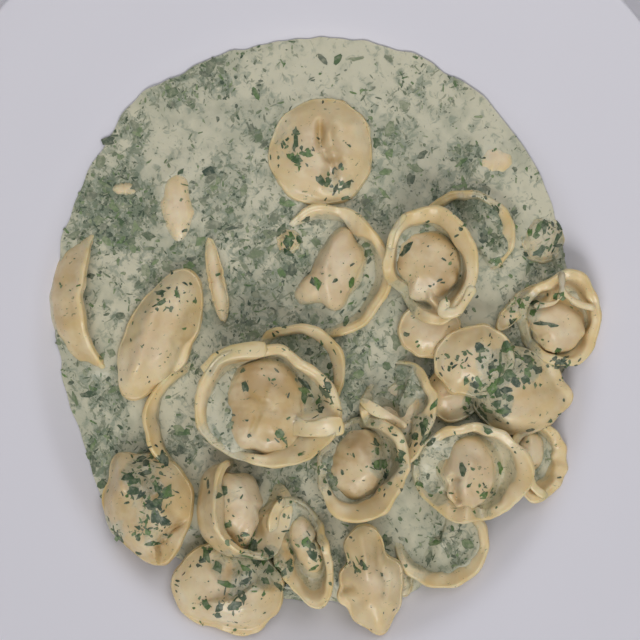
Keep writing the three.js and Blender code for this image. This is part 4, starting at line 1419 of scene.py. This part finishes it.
@dataclass
class Sauce:
    """The cream in the well and in the hollows of the rings.

    Its surface is at `level`, slopes along Y and swells gently, falls to the plate over the last `shore`
    millimetres, and climbs where it meets the dough. `skin` is the gap that it keeps from the dough.
    """

    plate: Plate
    heap: Heap
    level: float = 24.6
    slope: float = 0.022
    shore: float = 13
    swell: float = 0.9
    swell_length: float = 34
    columns: int = 352
    rings: int = 104
    climb: float = 0.9
    climb_reach: float = 1.3
    edge_rise: float = 0.3
    edge_rounding: float = 2.4
    ragged: float = 0.0035
    row_bunching: float = 0.85
    bed_gap: float = 0.5
    under_rings: int = 5
    skin: float = 0.02
    meshes: list[bpy.types.Mesh] = field(default_factory=list)

    def shore_share(self, direction: np.ndarray) -> np.ndarray:
        """Returns the share of the lip's radius that the sauce reaches, with a slightly ragged edge."""
        at = np.array([place for place, _ in SHORELINE] + [360 + SHORELINE[0][0]])
        share = np.array([value for _, value in SHORELINE] + [SHORELINE[0][1]])
        turned = direction % 360
        after = np.clip(np.searchsorted(at, turned, side="right"), 1, len(at) - 1)
        step = (turned - at[after - 1]) / (at[after] - at[after - 1])
        base = share[after - 1] + (share[after] - share[after - 1]) * step * step * (3 - 2 * step)
        lip = np.stack([*along(direction).T * round(self.plate.well_radius), 0 * direction], axis=1)
        return base + self.ragged * ripples(lip, 9, 7)

    def open_level(self, x: np.ndarray, y: np.ndarray) -> np.ndarray:
        """Returns the height of the open sauce."""
        waves = np.sin(x / self.swell_length * 2.3 + 0.6) * np.cos(y / self.swell_length * 2.1 - 0.4)
        return self.level + self.slope * y + self.swell * waves

    def block(self) -> bpy.types.Mesh:
        """Makes the sauce before anything is cut out of it."""
        plate = self.plate
        direction = np.arange(self.columns) * 360 / self.columns
        shore = self.shore_share(direction) - 0.004
        edge = plate.well_height(shore) + self.edge_rise
        rows = []
        for row in range(self.rings + self.under_rings + 1):
            on_top = row <= self.rings
            part = row / self.rings if on_top else 1 - (row - self.rings) / self.under_rings
            share = shore * part ** self.row_bunching
            flat = along(direction) * (share * plate.well_radius)[:, None]
            flat[:, 1] *= plate.length_ratio
            inland = np.clip((shore - share) * plate.well_radius / self.shore, 0, 1)
            top = edge + (self.open_level(*flat.T) - edge) * (1 - (1 - inland) ** self.edge_rounding)
            height = top if on_top else plate.well_height(share) + self.bed_gap
            rows.append(np.concatenate([flat, height[:, None]], axis=1))
        return wrap_sphere("sauce", self.columns, np.array(rows))

    def raise_at_pasta(self, mesh: bpy.types.Mesh, trees: Sequence[BVHTree]) -> None:
        """Draws the sauce's surface up where it meets the dough, and ripples it."""
        points = read_points(mesh)
        top = smooth(read_normals(mesh)[:, 2], 0.2, 0.7)
        points[:, 2] += top * summed_ripples(points, ((0.16, 13, 5), (0.1, 5, 6)))
        for index in np.flatnonzero(top > 0.01):
            near = 4 * self.climb_reach
            spot = Vector(points[index] * MM)
            for tree in trees:
                found = tree.find_nearest(spot, near * MM)
                if found[3] is not None:
                    near = min(near, found[3] / MM)
            points[index, 2] += top[index] * self.climb * math.exp(-near / self.climb_reach)
        write_points(mesh, points)

    def finish(self, name: str, mesh: bpy.types.Mesh, material: bpy.types.Material) -> bpy.types.Object:
        """Marks where the sauce is murky with spinach, and dresses it."""
        points = read_points(mesh)
        set_attribute(mesh, "murk", murkiness(points))
        shade_smooth(mesh, 55)
        thing = add_object(name, mesh, material)
        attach(thing, "root")
        self.meshes.append(mesh)
        LOG.info("%s: %d faces", name, len(mesh.polygons))
        return thing

    def build(self) -> None:
        """Makes the sauce of the well and the pools in the rings."""
        material = Cream().material()
        trees = [tree_of(mesh) for mesh in self.heap.meshes]
        sauce = self.block()
        self.raise_at_pasta(sauce, trees)
        sauce = cut_away(sauce, joined(self.heap.meshes, self.skin))
        keep_largest(sauce)
        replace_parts(self.finish("cream_sauce", sauce, material), "sauce")
        pools = []
        for piece in self.heap.pieces:
            pool = piece.pool_surface()
            if pool is None:
                continue
            self.raise_at_pasta(pool, trees)
            pool = cut_away(pool, joined(self.heap.meshes + [sauce], self.skin))
            if len(pool.polygons):
                pools.append(pool)
        self.finish("cream_in_rings", joined(pools), material)


# ---------------------------------------------------------------- spinach


class Ground(Enum):
    """What a shred of spinach lies on."""

    SAUCE = "sauce"
    DOUGH = "dough"


@dataclass
class Terrain:
    """The food as spinach falls on it from above."""

    heap: Heap
    sauce: Sauce
    sky: float = 60
    layers: list[tuple[Ground, BVHTree, np.ndarray, np.ndarray]] = field(default_factory=list)

    def survey(self) -> None:
        """Builds the search trees."""
        for ground, meshes in ((Ground.DOUGH, self.heap.meshes), (Ground.SAUCE, self.sauce.meshes)):
            for mesh in meshes:
                points = read_points(mesh)
                self.layers.append((ground, tree_of(mesh), points.min(0), points.max(0)))

    def fall(self, x: float, y: float) -> tuple[Ground, Vector, Vector] | None:
        """Returns what lies at a place: its ground, the place in millimetres and the normal, or None."""
        best = None
        origin = Vector((x, y, self.sky)) * MM
        for ground, tree, low, high in self.layers:
            if not (low[0] < x < high[0] and low[1] < y < high[1]):
                continue
            place, normal, _, _ = tree.ray_cast(origin, Vector((0, 0, -1)))
            if place is not None and (best is None or place.z > best[1].z):
                best = (ground, place, normal)
        if best is None:
            return None
        return best[0], best[1] / MM, best[2]


@dataclass(frozen=True)
class Shred:
    """One kind of spinach bit: its length and width in millimetres, and how it is cut.

    `lift` is how far it stands off the ground and `curl` how far it bends. The chance that it stays is
    `on_dough` on bare dough and `clinging` more in a cluster, and a share `floating` of the sauce's.
    """

    name: str
    count: int
    length: Point
    width: Point
    corners: int
    lift: float
    curl: float
    on_dough: float
    clinging: float
    veil: Point
    seed: int
    floating: float = 1.0
    layers: int = 1


SHREDS: tuple[Shred, ...] = (
    Shred("spinach_specks", 7500, (0.5, 1.3), (0.35, 0.8), 6, 0.05, 0.05, 0.05, 0.3, (0.0, 0.4), 11),
    Shred("spinach_strands", 5400, (1.3, 3.2), (0.4, 0.85), 7, 0.08, 0.2, 0.04, 0.5, (0.0, 0.48), 13),
    Shred("spinach_flecks", 5600, (1.0, 2.6), (0.7, 1.6), 7, 0.09, 0.2, 0.05, 0.6, (0.0, 0.48), 12, 0.9),
    Shred("spinach_leaves", 2700, (2.4, 6.0), (1.3, 3.4), 9, 0.14, 0.4, 0.025, 0.85, (0.0, 0.42), 14, 0.6,
          2),
)


@dataclass
class Spinach:
    """Chopped leaf scattered over the sauce and the pasta, one piece per kind.

    No bit stays where the ground's normal rises less than `steepest`. A bit reaches `root` below its
    ground, and a leaf follows uneven ground by `give` at most.
    """

    terrain: Terrain
    plate: Plate
    templates: int = 8
    steepest: float = 0.35
    root: float = 0.35
    give: float = 1.6
    veil_on_dough: float = 0.2
    dullness: float = 1.6

    def template(self, shred: Shred, draw: np.random.Generator) -> bpy.types.Mesh:
        """Cuts one flat shred of length and width 1, ragged at its edge."""
        body = bmesh.new()
        bmesh.ops.create_circle(body, cap_ends=True, radius=0.5, segments=shred.corners)
        for vert in body.verts:
            vert.co *= draw.uniform(0.5, 1.16)
        if shred.layers > 1:
            bmesh.ops.poke(body, faces=body.faces)
            bmesh.ops.subdivide_edges(body, edges=body.edges, cuts=1, use_grid_fill=True)
        made = bmesh.ops.extrude_face_region(body, geom=body.faces[:])
        raised = [item for item in made["geom"] if isinstance(item, bmesh.types.BMVert)]
        bmesh.ops.translate(body, verts=raised, vec=(0, 0, 1))
        bmesh.ops.recalc_face_normals(body, faces=body.faces)
        return mesh_from(body, shred.name)

    def density(self, shred: Shred, spots: np.ndarray) -> dict[Ground, np.ndarray]:
        """Returns the chance that a shred stays where it falls, on each ground."""
        clinging = np.maximum(patches(CLUSTERS, spots), 0.4 * patches(FILMS, spots))
        floating = np.clip(0.2 + 0.36 * murkiness(spots), 0.03, 1)
        return {Ground.DOUGH: shred.on_dough + shred.clinging * clinging,
                Ground.SAUCE: shred.floating * floating}

    def laid(self, shred: Shred, flat: np.ndarray, normal: Vector, draw: np.random.Generator) -> np.ndarray:
        """Bends a template, sizes it and lays it on a surface with this normal, as (n, 3)."""
        length, width = draw.uniform(*shred.length), draw.uniform(*shred.width)
        bend = draw.uniform(-1, 1) * shred.curl
        local = np.stack([flat[:, 0] * length, flat[:, 1] * width, np.zeros(len(flat))], axis=1)
        bowed = bend * ((2 * flat[:, 0]) ** 2 - 0.3) * 0.5
        local[:, 2] = np.where(flat[:, 2] > 0.5, shred.lift, -self.root) + bowed
        lying = Vector((0, 0, 1)).rotation_difference(normal).to_matrix()
        return local @ np.array(lying @ Matrix.Rotation(draw.uniform(0, 2 * math.pi), 3, "Z")).T

    def settle(self, placed: np.ndarray, spot: Vector, normal: Vector) -> None:
        """Lets a large shred that was laid flat at a spot follow the ground below each of its points."""
        for point in placed:
            landed = self.terrain.fall(point[0], point[1])
            if landed is not None:
                away = Vector((point[0], point[1], 0)) - Vector((spot.x, spot.y, 0))
                level = spot.z - (normal.x * away.x + normal.y * away.y) / normal.z
                point[2] += min(max(landed[1].z - level, -self.give), self.give)

    def scatter(self, shred: Shred, material: bpy.types.Material) -> None:
        """Scatters one kind of shred over the terrain."""
        draw = np.random.default_rng(shred.seed)
        templates = [self.template(shred, draw) for _ in range(self.templates)]
        flats = [read_points(mesh) * MM for mesh in templates]
        body = bmesh.new()
        veils, brights = [], []
        reach = self.plate.well_radius
        spots = draw.uniform(-reach, reach, (shred.count, 3)) * [1, self.plate.length_ratio, 0]
        chance = draw.random(shred.count)
        stays = self.density(shred, spots)
        hopeful = chance < np.maximum(stays[Ground.DOUGH], stays[Ground.SAUCE])
        for index in np.flatnonzero(hopeful):
            landed = self.terrain.fall(*spots[index, :2])
            if landed is None:
                continue
            ground, spot, normal = landed
            if chance[index] > stays[ground][index] or normal.z < self.steepest:
                continue
            pick = int(draw.integers(self.templates))
            placed = self.laid(shred, flats[pick], normal, draw) + np.array(spot)
            if shred.layers > 1:
                self.settle(placed, spot, normal)
            write_points(templates[pick], placed)
            body.from_mesh(templates[pick])
            veil = draw.uniform(*shred.veil) * (1 if ground is Ground.SAUCE else self.veil_on_dough)
            veils.extend([veil] * len(placed))
            brights.extend([draw.random() ** self.dullness] * len(placed))
        mesh = mesh_from(body, shred.name)
        set_attribute(mesh, "veil", np.array(veils))
        set_attribute(mesh, "bright", np.array(brights))
        shade_smooth(mesh, 40)
        thing = add_object(shred.name, mesh, material)
        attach(thing, "root")
        LOG.info("%s: %d faces", shred.name, len(mesh.polygons))

    def build(self) -> None:
        """Scatters every kind."""
        material = Leaf().material()
        for shred in SHREDS:
            self.scatter(shred, material)


# ---------------------------------------------------------------- studio


@dataclass(frozen=True)
class Lamp:
    """A square, slightly warm area light that shines at the plate's middle."""

    name: str
    at: Triple
    size: float
    watts: float
    colour: Triple = (1.0, 0.985, 0.96)

    def hang(self) -> None:
        """Adds the light to the scene."""
        lamp = bpy.data.lights.new(self.name, "AREA")
        lamp.shape = "SQUARE"
        lamp.size = self.size * MM
        lamp.energy = self.watts
        lamp.color = self.colour
        holder = bpy.data.objects.new(self.name, lamp)
        holder.location = Vector(self.at) * MM
        holder.rotation_euler = (-holder.location).to_track_quat("-Z", "Y").to_euler()
        bpy.context.scene.collection.objects.link(holder)


@dataclass
class Studio:
    """The table, the soft light and the camera straight above the plate.

    `field_width` is what the picture shows at the height of `aim`, from `distance` above it.
    """

    aim: Triple = (1.6, 6.6, 27)
    distance: float = 400
    field_width: float = 201.6
    sensor: float = 36
    lamps: tuple[Lamp, ...] = (Lamp("window", (-500, -3000, 2900), 2000, 62),
                               Lamp("ceiling", (100, 200, 1500), 1200, 4.2),
                               Lamp("bounce", (330, 560, 760), 600, 1.5),
                               Lamp("glint", (70, -430, 560), 90, 0.2))
    sky: Triple = (0.93, 0.94, 1.0)
    sky_strength: float = 0.18
    table_reach: float = 900
    table_gap: float = 0.2

    def build(self) -> None:
        """Sets up the stage."""
        self.table()
        self.light()
        self.camera()

    def table(self) -> None:
        """Lays a plain pale table under the plate."""
        body = bmesh.new()
        bmesh.ops.create_grid(body, x_segments=8, y_segments=8, size=self.table_reach * MM)
        bmesh.ops.translate(body, verts=body.verts, vec=(0, 0, -self.table_gap * MM))
        table = add_object("table", mesh_from(body, "table"), TableTop().material())

    def light(self) -> None:
        """Hangs the far window, the ceiling, the bounce and the glint, under an even sky."""
        for lamp in self.lamps:
            lamp.hang()
        world = bpy.data.worlds.new("soft_sky")
        world.use_nodes = True
        background = world.node_tree.nodes["Background"]
        background.inputs["Color"].default_value = (*self.sky, 1)
        background.inputs["Strength"].default_value = self.sky_strength
        bpy.context.scene.world = world
        bpy.context.scene.view_settings.view_transform = "Standard"

    def camera(self) -> None:
        """Looks straight down on the food, +Y at the top of the picture."""
        lens = bpy.data.cameras.new("view")
        lens.sensor_width = self.sensor
        lens.lens = self.sensor * self.distance / self.field_width
        lens.clip_start = 0.01
        camera = bpy.data.objects.new("view", lens)
        camera.location = Vector((self.aim[0], self.aim[1], self.aim[2] + self.distance)) * MM
        bpy.context.scene.collection.objects.link(camera)
        bpy.context.scene.camera = camera


def main() -> None:
    """Builds the plate of pasta in order."""
    logging.basicConfig(level=logging.INFO, format="%(message)s")
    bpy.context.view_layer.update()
    Studio().build()
    plate = Plate()
    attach(plate.build(), "root")
    heap = Heap()
    heap.build()
    sauce = Sauce(plate, heap)
    sauce.build()
    terrain = Terrain(heap, sauce)
    terrain.survey()
    Spinach(terrain, plate).build()


if __name__ == "__main__":
    main()
